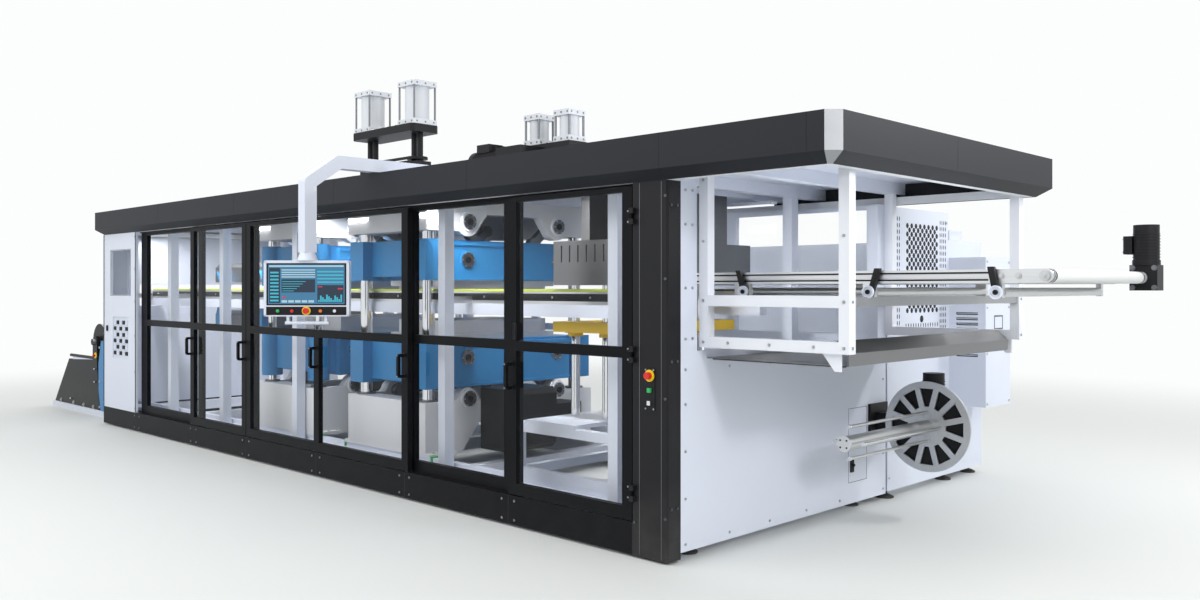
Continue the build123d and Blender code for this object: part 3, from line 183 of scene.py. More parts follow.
soft_lamp("front_panel_light", (-4, -6, 6), (-4, 1, 0.8), (10, 4), 280)
soft_lamp("end_panel_light", (6.5, 0.5, 4.5), (0, 1.2, 0.8), (5, 4), 160)
soft_lamp("end_side_light", (3.2, 5.2, 4.2), (0, 1.2, 0.6), (0.35, 0.35), 90)
soft_lamp("end_spot_light", (4.6, -0.6, 3.1), (0, 1.2, 0.6), (0.4, 0.4), 8, 70)
soft_lamp("top_light", (-4, 1.2, 8), (-4, 1.2, 0), (10, 5), 240)
for number, lamp_x in enumerate((-7.6, -6.2, -5.5, -3.9, -2.2, -0.9)):
    soft_lamp(f"roof_strip_light_{number}", (lamp_x, 0.345, 2.09), (lamp_x, 1.4, 0.9), (1.0, 0.12), 17, 110)
soft_lamp("outfeed_roof_light", (0.45, 1.2, 2.12), (0.45, 1.2, 1.0), (0.6, 1.6), 12)
print("lamps", len(bpy.data.lights))

# %% [markdown]
# The floor is painted concrete, so pale that it runs into the background. Near the machine it is a
# real surface that takes the shadow. Far away it fades into the colour of the surround, which is
# how a studio floor with a curved backdrop looks, and no horizon shows.

# %% Floor
FLOOR_SIZE = 160
FADE_START, FADE_END = 5.0, 13.0
bpy.ops.object.select_all(action="DESELECT")
bpy.ops.mesh.primitive_plane_add(size=FLOOR_SIZE, location=(0, 0, 0))
floor = bpy.context.object
floor.name = "studio_floor"
floor_paint, tree, floor_shader = new_material("studio_floor")
feed(tree, floor_shader, {"Base Color": (0.70, 0.715, 0.705, 1), "Roughness": 0.6, "Specular IOR Level": 0.2})
backdrop = add_node(tree, "Emission", {"Color": BACKGROUND})
distance = add_node(tree, "VectorMath", {0: object_place(tree)}, operation="LENGTH")
fade = add_node(tree, "MapRange", {"Value": distance.outputs["Value"], "From Min": FADE_START,
                                   "From Max": FADE_END}, interpolation_type="SMOOTHSTEP")
seen_fade = sum_of(tree, "MULTIPLY", fade.outputs["Result"], seen_ray(tree))
blend = add_node(tree, "MixShader", {"Fac": seen_fade, 1: floor_shader.outputs[0], 2: backdrop.outputs[0]})
feed(tree, tree.nodes["Material Output"], {"Surface": blend.outputs[0]})
floor.data.materials.append(floor_paint)
print("floor laid")

# %% [markdown]
# Painted sheet metal is never one flat colour. Powder paint has a fine orange-peel texture, a very
# slight change of tone over a large panel, and it picks up dust low down. These effects are used
# by many finishes, so each is a node group with named inputs, built once.

# %% Helper for node groups


def new_group(name, inputs, outputs):
    """An empty shader node group with named number sockets."""
    group = bpy.data.node_groups.new(name, "ShaderNodeTree")
    for label, default in inputs.items():
        socket = group.interface.new_socket(label, in_out="INPUT", socket_type="NodeSocketFloat")
        socket.default_value = default
    for label in outputs:
        group.interface.new_socket(label, in_out="OUTPUT", socket_type="NodeSocketFloat")
    return group, group.nodes.new("NodeGroupInput").outputs, group.nodes.new("NodeGroupOutput")


print("helper for node groups ready")

# %% Node group: powder paint


def build_powder_paint():
    """Orange peel, tone drift and dust that settles on the lowest half metre."""
    group, given, out = new_group("powder_paint", {"Peel Scale": 420.0, "Drift": 0.06, "Dust": 0.25},
                                  ("Tone", "Dust Mask", "Height"))
    place = object_place(group)
    peel = add_node(group, "TexNoise", {"Vector": place, "Scale": given["Peel Scale"], "Detail": 3})
    drift = add_node(group, "TexNoise", {"Vector": place, "Scale": 1.7})
    centred = sum_of(group, "SUBTRACT", drift.outputs["Fac"], 0.5)
    tone = sum_of(group, "MULTIPLY_ADD", centred, given["Drift"], 1.0)
    height = add_node(group, "SeparateXYZ", {0: place}).outputs["Z"]
    low = add_node(group, "MapRange", {"Value": height, "From Min": 0.45, "From Max": 0.0})
    patches = add_node(group, "TexNoise", {"Vector": place, "Scale": 9, "Detail": 6})
    amount = sum_of(group, "MULTIPLY", low.outputs["Result"], patches.outputs["Fac"])
    mask = sum_of(group, "MULTIPLY", amount, given["Dust"])
    feed(group, out, {"Tone": tone, "Dust Mask": mask, "Height": peel.outputs["Fac"]})
    return group


powder_paint = build_powder_paint()
print("group", powder_paint.name)

# %% [markdown]
# Where paint rubs off, a paler line shows along the edges. The Bevel node rounds the surface's
# direction near an edge, so where it differs from the true direction there is an edge, with nothing
# painted by hand. A noise breaks the line up, because wear is never even.

# %% Node group: edge wear


def build_edge_wear():
    """A mask that is bright along sharp edges, broken up by noise."""
    group, given, out = new_group("edge_wear", {"Width": 0.004, "Amount": 0.5}, ("Mask",))
    rounded = add_node(group, "Bevel", {"Radius": given["Width"]}, samples=4)
    flat = add_node(group, "NewGeometry")
    same = add_node(group, "VectorMath", {0: rounded.outputs["Normal"], 1: flat.outputs["Normal"]},
                    operation="DOT_PRODUCT")
    edge = add_node(group, "MapRange", {"Value": same.outputs["Value"], "From Min": 0.995, "From Max": 0.8})
    chips = add_node(group, "TexNoise", {"Vector": object_place(group), "Scale": 38, "Detail": 5})
    broken = sum_of(group, "MULTIPLY", edge.outputs["Result"], chips.outputs["Fac"])
    feed(group, out, {"Mask": sum_of(group, "MULTIPLY", broken, given["Amount"])})
    return group


edge_wear = build_edge_wear()
print("group", edge_wear.name)

# %% [markdown]
# Ground metal has fine parallel lines. A noise makes them when it is stretched: its scale is small
# along the lines and large across them. A second, broad noise adds the cloudy marks of handling.

# %% Node group: brushed grain


def build_brushed_grain():
    """Fine parallel lines left by a grinding belt, with cloudy streaks."""
    group, given, out = new_group("brushed_grain", {"Along X": 3.0, "Along Y": 260.0, "Along Z": 260.0},
                                  ("Tone", "Height"))
    place = object_place(group)
    scales = add_node(group, "CombineXYZ", {axis: given[f"Along {axis}"] for axis in "XYZ"})
    stretched = add_node(group, "VectorMath", {0: place, 1: scales.outputs[0]}, operation="MULTIPLY")
    lines = add_node(group, "TexNoise", {"Vector": stretched.outputs[0], "Scale": 1, "Detail": 4})
    clouds = add_node(group, "TexNoise", {"Vector": place, "Scale": 5})
    tone = sum_of(group, "MULTIPLY_ADD", clouds.outputs["Fac"], 0.3, lines.outputs["Fac"])
    feed(group, out, {"Tone": tone, "Height": lines.outputs["Fac"]})
    return group


brushed_grain = build_brushed_grain()
print("group", brushed_grain.name)

# %% [markdown]
# A painted part is a coloured film over steel. The paint group changes its tone a little, the wear
# group lets a lighter edge show, and the peel goes to a faint bump. One function builds every
# paint, so each colour of the machine is one line with its own values.

# %% Helpers for painted finishes
DUST_COLOUR = (0.55, 0.53, 0.50, 1)
finishes = {}


def mix_colour(tree, mask, below, above):
    """A colour that goes from one to another by a mask."""
    return add_node(tree, "Mix", {"Factor": mask, 6: below, 7: above}, data_type="RGBA").outputs[2]


def relief(tree, height, strength, distance):
    """A bump made from a height, for a shader's normal."""
    bump = add_node(tree, "Bump", {"Strength": strength, "Distance": distance, "Height": height})
    return bump.outputs["Normal"]


def paint(name, colour, roughness=0.45, peel=420.0, bump=0.06, drift=0.1, dust=0.12, wear=0.15, gloss=0.5):
    """A powder paint over sheet metal or a casting."""
    finishes[name], tree, shader = new_material(name)
    coating = add_node(tree, "Group", {"Peel Scale": peel, "Drift": drift, "Dust": dust},
                       node_tree=powder_paint)
    edges = add_node(tree, "Group", {"Amount": wear}, node_tree=edge_wear)
    toned = add_node(tree, "Mix", {"Factor": 1.0, 6: (*colour, 1), 7: coating.outputs["Tone"]},
                     data_type="RGBA", blend_type="MULTIPLY")
    pale = (*(min(1.0, part * 1.5 + 0.1) for part in colour), 1)
    worn = mix_colour(tree, edges.outputs["Mask"], toned.outputs[2], pale)
    dusty = mix_colour(tree, coating.outputs["Dust Mask"], worn, DUST_COLOUR)
    matt = sum_of(tree, "MULTIPLY_ADD", coating.outputs["Dust Mask"], 0.35, roughness)
    feed(tree, shader, {"Base Color": dusty, "Specular IOR Level": gloss, "Roughness": matt,
                        "Normal": relief(tree, coating.outputs["Height"], bump, 0.001)})


print("paint helper ready")

# %% [markdown]
# The machine's own colours are few: a near-black for doors and posts, two whites for sheets and
# frames, blue platens and one yellow table. Castings have a coarser peel than folded sheet, and the
# glossy plastic of buttons has hardly any.

# %% Paint colours
paint("anthracite_sheet", (0.006, 0.0064, 0.008), 0.40, dust=0.02, gloss=0.08)
paint("roof_trim", (0.015, 0.017, 0.022), 0.5, bump=0.08, dust=0.0, gloss=0.2)
paint("black_powder", (0.008, 0.008, 0.010), 0.46, bump=0.1, dust=0.08, gloss=0.22)
paint("white_sheet", (0.66, 0.70, 0.80), 0.42, drift=0.05, wear=0.08)
paint("frame_white", (0.78, 0.80, 0.86), 0.40, drift=0.05, wear=0.08)
paint("liner_white", (0.72, 0.74, 0.77), 0.5, drift=0.05, wear=0.05)
paint("cast_white", (0.68, 0.69, 0.72), 0.48, peel=90, bump=0.25, drift=0.08)
paint("platen_blue", (0.027, 0.20, 0.45), 0.42, peel=120, bump=0.15, gloss=0.4)
paint("table_yellow", (0.72, 0.47, 0.03), 0.45, peel=200, bump=0.12)
paint("cylinder_white", (0.62, 0.64, 0.67), 0.36, wear=0.15)
paint("strip_green", (0.50, 0.60, 0.06), 0.45, peel=200, bump=0.1, dust=0.05)
SIGNALS = {"signal_red": ((0.62, 0.015, 0.012), 0.32), "signal_yellow": ((0.83, 0.58, 0.01), 0.36),
           "signal_green": ((0.02, 0.42, 0.10), 0.3), "signal_orange": ((0.80, 0.18, 0.01), 0.3)}
for name, (colour, roughness) in SIGNALS.items():
    paint(name, colour, roughness, peel=60, bump=0.03, drift=0.04, dust=0.0, wear=0.0)
print("paints", len(finishes))

# %% [markdown]
# Bare metals differ in their grain: ground stainless has long lines, turned steel is smoother, and
# chrome is a mirror with only faint marks. The grain group gives the lines, and its tone also
# moves the roughness, which is what makes brushed metal look brushed when light glides over it.

# %% Metal finishes


def metal(name, colour, roughness, spread, grain, bump):
    """A bare metal with a directional grain."""
    finishes[name], tree, shader = new_material(name)
    brushed = add_node(tree, "Group", {f"Along {axis}": scale for axis, scale in zip("XYZ", grain)},
                       node_tree=brushed_grain)
    darker = (*(part * 0.82 for part in colour), 1)
    feed(tree, shader, {"Metallic": 1.0,
                        "Base Color": mix_colour(tree, brushed.outputs["Tone"], darker, (*colour, 1)),
                        "Roughness": sum_of(tree, "MULTIPLY_ADD", brushed.outputs["Tone"], spread, roughness),
                        "Normal": relief(tree, brushed.outputs["Height"], bump, 0.0006)})


metal("chrome_rod", (0.80, 0.81, 0.83), 0.05, 0.08, (60, 60, 400), 0.01)
metal("grey_steel", (0.20, 0.21, 0.23), 0.32, 0.2, (80, 80, 80), 0.08)
metal("bright_steel", (0.62, 0.63, 0.64), 0.22, 0.2, (90, 300, 90), 0.05)
metal("stainless", (0.24, 0.243, 0.25), 0.20, 0.22, (250, 3, 250), 0.05)
metal("tool_alloy", (0.66, 0.67, 0.69), 0.25, 0.2, (200, 4, 200), 0.05)
metal("profile_alloy", (0.70, 0.71, 0.73), 0.28, 0.15, (4, 300, 300), 0.04)
metal("galvanised", (0.42, 0.43, 0.45), 0.3, 0.25, (14, 14, 14), 0.04)
print("metals and paints", len(finishes))

# %% [markdown]
# The belt and the feet are matt elastomers with a fine moulded texture. Glazing shows as a mirror
# only on its outer faces, as much as the viewing angle gives, with faint smears in its polish.

# %% Belt, feet and glazing
RUBBERS = {"belt_white": ((0.62, 0.63, 0.63), 900), "foot_rubber": ((0.02, 0.02, 0.02), 500)}
for name, (colour, scale) in RUBBERS.items():
    paint(name, colour, 0.6, peel=scale, bump=0.3, drift=0.12, dust=0.1, wear=0.0, gloss=0.3)


def glazing(name, tint):
    """Clear sheet glazing."""
    finishes[name], tree, shader = new_material(name)
    grazing = add_node(tree, "Fresnel", {"IOR": 1.45}).outputs[0]
    inner_face = add_node(tree, "NewGeometry").outputs["Backfacing"]
    outer_face = sum_of(tree, "SUBTRACT", 1.0, inner_face)
    mirror = sum_of(tree, "MULTIPLY", sum_of(tree, "MULTIPLY", grazing, 0.4), outer_face)
    smears = add_node(tree, "TexNoise", {"Vector": object_place(tree), "Scale": 2.5, "Detail": 5})
    polish = add_node(tree, "MapRange", {"Value": smears.outputs["Fac"], "From Min": 0.45, "From Max": 0.75,
                                         "To Min": 0.015, "To Max": 0.09})
    feed(tree, shader, {"Metallic": 1.0, "Base Color": (*tint, 1), "Alpha": mirror,
                        "Roughness": polish.outputs["Result"]})


glazing("clear_glazing", (0.93, 0.97, 1.0))
print("all finishes", len(finishes))

# %% [markdown]
# Each piece that comes from the frame already has the right shape, so it only takes its finish. The
# record names a slot for each piece, and the slot picks the finish. Two kinds of piece differ: the
# roof trim is a greyer black than the doors, and the outfeed guard a cleaner white than the sheets.

# %% Finishes on the frame's pieces
slot_of = {part["node"]: part["material_slot"] for part in frame["record"]["subparts"]}
OWN_FINISH = {"canopy": "roof_trim", "outfeed_frame": "frame_white"}
for name, piece in cad.items():
    chosen = slot_of[name]
    for start, finish in OWN_FINISH.items():
        if name.startswith(start):
            chosen = finish
    piece.data.materials.clear()
    piece.data.materials.append(finishes[chosen])
print("finished pieces", len(cad))

# %% [markdown]
# Some pieces carry more than one finish: the roof trim is charcoal outside and white inside, and a
# push button is moulded in its own colour. Blender keeps a material number on every face, so a
# second finish goes on the faces that lie in a named place or look a named way.

# %% Second finishes on the frame's pieces
ORIGIN = Vector((END_X, FRONT_Y, 0))


def second_finish(node, finish, wanted):
    """Give a finish to the faces of a frame piece that a test picks by place and direction."""
    piece = cad[node]
    piece.data.materials.append(finishes[finish])
    number = len(piece.data.materials) - 1
    picked = [face for face in piece.data.polygons if wanted(face.center - ORIGIN, face.normal)]
    for face in picked:
        face.material_index = number
    print(node, finish, len(picked), "faces")


second_finish("canopy_front", "liner_white", lambda p, n: n.y > 0.5 or n.z < -0.9)
second_finish("canopy_back", "liner_white", lambda p, n: n.y < -0.5 and p.y < 2.5)
second_finish("canopy_infeed", "liner_white", lambda p, n: n.x > 0.5)
second_finish("canopy_outfeed", "liner_white", lambda p, n: n.x < -0.5 or n.z < -0.9)
BUTTON_X = -0.125
STOP_Z, START_Z, KEY_Z = 1.020, 0.940, 0.870
BUTTON_COLOURS = (("signal_yellow", STOP_Z, 0.0335, 0.0045), ("signal_red", STOP_Z, 0.0205, 0.0105),
                  ("signal_green", START_Z, 0.018, 0.0045), ("chrome_rod", KEY_Z, 0.018, 0.0045))
for finish, button_z, radius, proud in BUTTON_COLOURS:
    second_finish("corner_post", finish, lambda p, n: p.y < -proud and
                  (p.x - BUTTON_X) ** 2 + (p.z - button_z) ** 2 < radius ** 2)
second_finish("conveyor_frame", "galvanised", lambda p, n: p.z < 1.4555)
second_finish("canopy_front", "galvanised", lambda p, n: n.x > 0.4 and n.y < -0.4)
second_finish("cooling_unit", "black_powder",
              lambda p, n: 0.055 < p.x < 0.235 and 3.352 < p.y < 3.395 and 0.97 < p.z < 1.34)

# %% [markdown]
# The rest is modelled as by hand, from a block or a drum. Each is added at its place, turned the way
# it faces and given its size. All three are then applied to the mesh, so that the object itself sits
# at the origin, unturned and unscaled, and a finish on object coordinates stays where it belongs.

# %% Helpers for shapes
FACING = {"up": (0, 0, 0), "down": (pi, 0, 0), "front": (pi / 2, 0, 0), "back": (-pi / 2, 0, 0),
          "end": (0, pi / 2, 0), "infeed": (0, -pi / 2, 0)}


def clear_selection(active=None):
    """Object mode with nothing selected, or with one piece selected and active."""
    if bpy.context.mode != "OBJECT":
        bpy.ops.object.mode_set(mode="OBJECT")
    bpy.ops.object.select_all(action="DESELECT")
    if active:
        active.select_set(True)
        bpy.context.view_layer.objects.active = active


def settle():
    """Move the active object's place, turn and size into its mesh."""
    bpy.ops.object.transform_apply(location=True, rotation=True, scale=True)
    return bpy.context.object


def box_at(middle, size):
    """A cube stretched to a size about its middle."""
    clear_selection()
    bpy.ops.mesh.primitive_cube_add(size=1, location=middle)
    bpy.context.object.scale = size
    return settle()


def block(low, high):
    """A cube stretched between two corners."""
    return box_at((at(*low) + at(*high)) / 2, Vector(high) - Vector(low))


def drum(foot, radius, length, facing="up", sides=24):
    """A cylinder that stands on its foot and faces a way."""
    clear_selection()
    turn = Euler(FACING[facing])
    middle = at(*foot) + turn.to_matrix() @ Vector((0, 0, length / 2))
    bpy.ops.mesh.primitive_cone_add(vertices=sides, radius1=radius, radius2=radius, depth=length,
                                    location=middle, rotation=turn)
    return settle()


print("ways to face", len(FACING))

# %% [markdown]
# A block is only a start. Faces are picked by the way they look, inset, and pushed in or out, which
# makes rims, sockets and sunk grips. A small bevel then breaks the edges, because no sheet or casting
# has a razor edge, and the narrow face it leaves catches the light as the real one does.

# %% Helpers for faces and edges
SHARP, ROUND = radians(40), radians(35)


def pick_faces(piece, wanted):
    """Edit mode with only the wanted faces selected."""
    bpy.ops.object.mode_set(mode="EDIT")
    bpy.ops.mesh.select_mode(type="FACE")
    bpy.ops.mesh.select_all(action="DESELECT")
    mesh = bmesh.from_edit_mesh(piece.data)
    for face in mesh.faces:
        face.select_set(wanted(face))
    bmesh.update_edit_mesh(piece.data)


def step(piece, facing, border, depth):
    """Inset the faces that look one way and push them out, or in with a negative depth."""
    way = Euler(FACING[facing]).to_matrix() @ Vector((0, 0, 1))
    pick_faces(piece, lambda face: face.normal.dot(way) > 0.9)
    bpy.ops.mesh.inset(thickness=border)
    bpy.ops.mesh.extrude_region_move(TRANSFORM_OT_translate={"value": way * depth})
    bpy.ops.object.mode_set(mode="OBJECT")
    return piece


def soften(piece, width, segments=2):
    """Break the sharp edges with a bevel, and shade what is round smooth."""
    clear_selection(piece)
    edges = piece.modifiers.new("edges", "BEVEL")
    edges.width = width
    edges.segments = segments
    edges.angle_limit = SHARP
    bpy.ops.object.modifier_apply(modifier=edges.name)
    bpy.ops.object.shade_smooth_by_angle(angle=ROUND)
    return piece


print("helpers for faces and edges ready")

# %% [markdown]
# Shapes that belong together are joined to one piece. A finished piece then gets its name, its finish
# and its body. The body is the part of the machine that it moves with, such as a door, so the piece
# follows when that part is posed.

# %% Helpers that join shapes and hand a piece over


def joined(pieces):
    """Several shapes made one."""
    clear_selection()
    for piece in pieces:
        piece.select_set(True)
    bpy.context.view_layer.objects.active = pieces[0]
    bpy.ops.object.join()
    return bpy.context.object


def hand_over(piece, name, slot, finish=None, body="machine"):
    """Name a piece, give it its finish, and let it ride on its body."""
    piece.name = piece.data.name = name
    piece.data.materials.clear()
    piece.data.materials.append(finishes[finish or slot])
    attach(piece, body)
    return piece


print("helpers for pieces ready")

# %% [markdown]
# Sheet metal is held by hundreds of screws. The real ones are button heads with a hexagon socket,
# and structural joints have a hexagon head on a washer. Each is modelled once at the frame's
# origin: a drum, its top inset, and the inset pushed down for the socket.

# %% Screw patterns


def pattern_drum(radius, length, sides):
    """A drum at the frame's origin, ready to be shaped."""
    clear_selection()
    bpy.ops.mesh.primitive_cylinder_add(vertices=sides, radius=radius, depth=length,
                                        location=(0, 0, length / 2))
    return settle()


def socket_screw(radius, height):
    """A round head with a sunk socket."""
    head = pattern_drum(radius, height, 12)
    step(head, "up", radius * 0.25, height * 0.25)
    return step(head, "up", radius * 0.3, -height * 0.7)


def hexagon_bolt(radius, height):
    """A hexagon head on a round washer."""
    washer = pattern_drum(radius * 1.5, height * 0.3, 16)
    step(washer, "up", radius * 0.2, 0.0005)
    head = pattern_drum(radius, height, 6)
    step(head, "up", radius * 0.2, height * 0.12)
    return joined([washer, head])


small_screw = socket_screw(0.0055, 0.003)
panel_screw = socket_screw(0.008, 0.004)
frame_bolt = hexagon_bolt(0.010, 0.008)
heavy_bolt = hexagon_bolt(0.016, 0.013)
print("screw faces", len(panel_screw.data.polygons), len(frame_bolt.data.polygons))

# %% [markdown]
# A screw is placed hundreds of times, so its pattern is copied rather than modelled again. Each copy
# has its own mesh and is turned to face the right way, and the copies of one row are joined. Rows and
# fields of screws are given by the values that they share, so a short list stands for many places.

# %% Helpers for rows of screws


def grid(xs, ys, zs):
    """Every place that has one of the xs, one of the ys and one of the zs."""
    return [(x, y, z) for x in xs for y in ys for z in zs]


def screws(name, pattern, places, facing, slot="bright_steel", finish=None, body="machine"):
    """One piece that holds a copy of a pattern at each place, all facing one way."""
    made = []
    for place in places:
        twin = pattern.copy()
        twin.data = pattern.data.copy()
        bpy.context.scene.collection.objects.link(twin)
        twin.location = at(*place)
        twin.rotation_euler = FACING[facing]
        made.append(twin)
    joined(made)
    return hand_over(settle(), name, slot, finish, body)


def drop(*patterns):
    """Take patterns out of the scene once their copies are made."""
    for pattern in patterns:
        bpy.data.objects.remove(pattern)


print("helpers for rows of screws ready")

# %% [markdown]
# The charcoal band round the roof is folded from sheets that butt against each other, so a thin dark
# gap crosses its upright face and its slope at each joint. The gap is a narrow strip that follows
# the fold: one block on the upright face whose lower end is extruded down the slope.

# %% Roof trim joints
TRIM_FACE, SLOPE_TOP, SLOPE_FOOT, TRIM_TOP = -0.075, 2.140, 2.085, 2.330
TRIM_END, TRIM_MIDDLE = 1.080, 1.180
GAP, FILM = 0.005, 0.0006


def trim_joint(x):
    """A gap line over the upright face and the slope of the front trim."""
    line = block((x - GAP / 2, TRIM_FACE - FILM, SLOPE_TOP), (x + GAP / 2, TRIM_FACE + 0.002, TRIM_TOP))
    slope = (0, -TRIM_FACE, SLOPE_FOOT - SLOPE_TOP)
    pick_faces(line, lambda face: face.normal.z < -0.9)
    bpy.ops.mesh.extrude_region_move(TRANSFORM_OT_translate={"value": slope})
    bpy.ops.object.mode_set(mode="OBJECT")
    return line


joints = joined([trim_joint(x) for x in (-6.553, -4.924, -3.275, -1.648, 0.0, 0.919)])
hand_over(joints, "roof_trim_joints", "black_powder")
end_joint = block((TRIM_END - 0.002, TRIM_MIDDLE - GAP / 2, SLOPE_TOP),
                  (TRIM_END + FILM, TRIM_MIDDLE + GAP / 2, TRIM_TOP))
hand_over(soften(end_joint, 0.0003, 1), "roof_trim_end_joint", "black_powder")
print("roof trim joints placed")

# %% [markdown]
# The end cover of the machine is one big white sheet, but it is built up from panels: a narrow one by
# the winder with a door and a black latch, and rows of screws down its edges. Seams are modelled as
# dark gap lines a few millimetres wide, which is what they look like from where anyone stands.

# %% End cover: seams, door and screws
DOOR_SIDES, DOOR_ENDS, SEAM = (1.860, 2.100), (0.190, 0.690), 0.003


def gap_lines(name, corners):
    """Dark gaps between sheets: thin blocks between pairs of corners, as one piece."""
    return hand_over(joined([block(low, high) for low, high in corners]), name, "black_powder")


door_lines = [(y, DOOR_ENDS[0], y + SEAM, DOOR_ENDS[1]) for y in (DOOR_SIDES[0], DOOR_SIDES[1] - SEAM)]
door_lines += [(DOOR_SIDES[0], z, DOOR_SIDES[1], z + SEAM) for z in (DOOR_ENDS[0], DOOR_ENDS[1] - SEAM)]
gap_lines("end_cover_seams", [((-0.001, y0, z0), (FILM, y1, z1)) for y0, z0, y1, z1 in door_lines])
latch = step(block((0.0, 1.880, 0.260), (0.012, 1.915, 0.360)), "end", 0.006, -0.004)
grip = drum((0.006, 1.8975, 0.310), 0.010, 0.020, "end", 20)
hand_over(soften(joined([latch, grip]), 0.001), "end_door_latch", "black_powder")
edge_places = grid([0.0], (0.150, 2.325), (0.09, 0.34, 0.60, 0.86, 1.05))
edge_places += grid([0.0], (0.55, 0.95, 1.35, 1.75), (0.09, 1.05))
screws("end_cover_screws", panel_screw, edge_places, "end")
column_places = grid([0.0], (0.150, 0.210), (1.22, 1.50, 1.85, 2.04))
screws("end_column_screws", panel_screw, column_places, "end")
print("end cover screws", len(edge_places) + len(column_places))

# %% [markdown]
# The black corner post is a folded box with a control plate screwed on. Two folds show as fine
# lines down its whole height, and small round plugs close the holes for lifting eyes.

# %% Corner post: folds, plugs and plate screws
post_lines = [block((x - 0.0015, -FILM, 0.02), (x + 0.0015, 0.001, 2.08)) for x in (-0.205, -0.045)]
hand_over(soften(joined(post_lines), 0.0003, 1), "corner_post_folds", "grey_steel")
plate_screws = grid((-0.154, -0.096), [-0.004], (0.838, 1.052))
screws("button_plate_screws", small_screw, plate_screws, "front")
plugs = grid([-0.015], [-0.0002], (0.25, 0.9, 1.55, 2.0)) + [(-0.240, -0.0002, 0.2)]
screws("corner_post_plugs", panel_screw, plugs, "front", "grey_steel")
end_plugs = grid([0.0], (0.03, 0.08), (1.95, 1.1, 0.3))
screws("corner_post_end_plugs", panel_screw, end_plugs, "end", "grey_steel")
print("corner post fitted")

# %% [markdown]
# The long skirt under the doors is made of sheets about as long as a bay. Dark joints divide it, and
# a pair of screws holds each end. The same screws hold the white side cover at the infeed end. The
# skirt at the back has the same joints, on the other face.

# %% Skirt joints and screws
SKIRT_JOINTS = (-7.265, -5.900, -4.845, -3.660, -2.450, -1.320)
POST_JOINT = -0.258


def skirt_gaps(name, joint_xs, near, far):
    """Upright gaps in a skirt, between two depths."""
    gap_lines(name, [((x - 0.002, near, 0.02), (x + 0.002, far, 0.196)) for x in joint_xs])


skirt_gaps("skirt_joints", (*SKIRT_JOINTS, POST_JOINT), -FILM, 0.001)
skirt_gaps("back_skirt_joints", SKIRT_JOINTS, 2.359, 2.360 + FILM)
skirt_places = [(x + side * 0.06, 0.0, z) for x in SKIRT_JOINTS for side in (-1, 1) for z in (0.045, 0.165)]
screws("skirt_screws", panel_screw, skirt_places, "front")
cover_places = grid((-8.175, -7.325), [0.0], (0.24, 0.62, 1.0, 1.36, 1.70, 2.04))
screws("side_cover_screws", panel_screw, cover_places, "front")
print("skirt screws", len(skirt_places), "cover screws", len(cover_places))

# %% [markdown]
# A bow handle is a bent bar held from behind through two feet, so each foot shows a screw on a round
# collar. The three hinges of the right leaf are lift-off hinges with screws through their leaves.
# These pieces ride on the door that they belong to, so they move with it.

# %% Door furniture
HANDLES = {"door_left": (-5.9375, -4.8875), "door_middle": (-3.660, -2.4495), "door_right": (-1.2825,)}
HANDLE_FEET = (0.876, 1.024)


def stepped(name, shape, facing, border, depth, edge, slot, finish=None, body="machine"):
    """A block or drum with one face stepped in or out and its edges broken."""
    return hand_over(soften(step(shape, facing, border, depth), edge), name, slot, finish, body)


collar = step(pattern_drum(0.017, 0.006, 20), "up", 0.003, 0.0015)
for door, handle_xs in HANDLES.items():
    feet = grid(handle_xs, [0.0], HANDLE_FEET)
    heads = grid(handle_xs, [-0.062], HANDLE_FEET)
    screws(f"{door}_handle_collars", collar, feet, "front", "black_powder", body=door)
    screws(f"{door}_handle_screws", small_screw, heads, "front", body=door)
drop(collar)
hinge_places = [(-0.290, 0.0, z + rise) for z in (0.36, 1.13, 1.90) for rise in (-0.03, 0.03)]
screws("hinge_screws", small_screw, hinge_places, "front", body="door_right")
lock = block((-1.262, -0.014, 1.180), (-1.236, 0.0, 1.280))
stepped("door_right_lock", lock, "front", 0.004, -0.003, 0.001, "black_powder", body="door_right")
print("door furniture on", len(HANDLES), "doors")

# %% [markdown]
# The operator's panel hangs on a swivelling arm. It has a large touch screen behind a black bezel and
# a strip of push buttons. The screen shows a plain drawing of what such screens show: a column of
# fields, a table, and a graph. A lit part of a screen is dark glossy glass with faint lines.

# %% Lit finishes


def glow(name, colour, strength=0.75):
    """A lit part of a screen, or a lamp cover."""
    finishes[name], tree, shader = new_material(name)
    lines = add_node(tree, "TexWave", {"Vector": object_place(tree), "Scale": 55}, wave_type="BANDS",
                     bands_direction="Z")
    dim = add_node(tree, "MapRange", {"Value": lines.outputs["Fac"], "To Min": 0.86})
    feed(tree, shader, {"Base Color": (*(part * 0.25 for part in colour), 1), "Roughness": 0.16,
                        "Emission Color": (*colour, 1),
                        "Emission Strength": sum_of(tree, "MULTIPLY", dim.outputs["Result"], strength)})


glow("screen_blue", (0.05, 0.20, 0.36))
glow("screen_dark", (0.012, 0.03, 0.06))
glow("screen_pale", (0.42, 0.62, 0.72))
glow("screen_cyan", (0.05, 0.48, 0.62))
glow("screen_red", (0.60, 0.04, 0.05))
glow("lamp_cover", (0.95, 0.97, 1.0), 0.95)
print("lit finishes ready, all finishes", len(finishes))

# %% [markdown]
# Everything on the panel is made of thin tiles, each a bevelled block, in the panel's own directions.
# A drawing of many tiles is joined, turned with the panel as a whole, and rides on it.

# %% Operator's panel: tiles of the screen
PANEL_PLACE = (-2.770, -0.577)
PANEL_TURN = radians(45)
SCREEN_FACE = -0.030 + 0.003
TILE = 0.0004


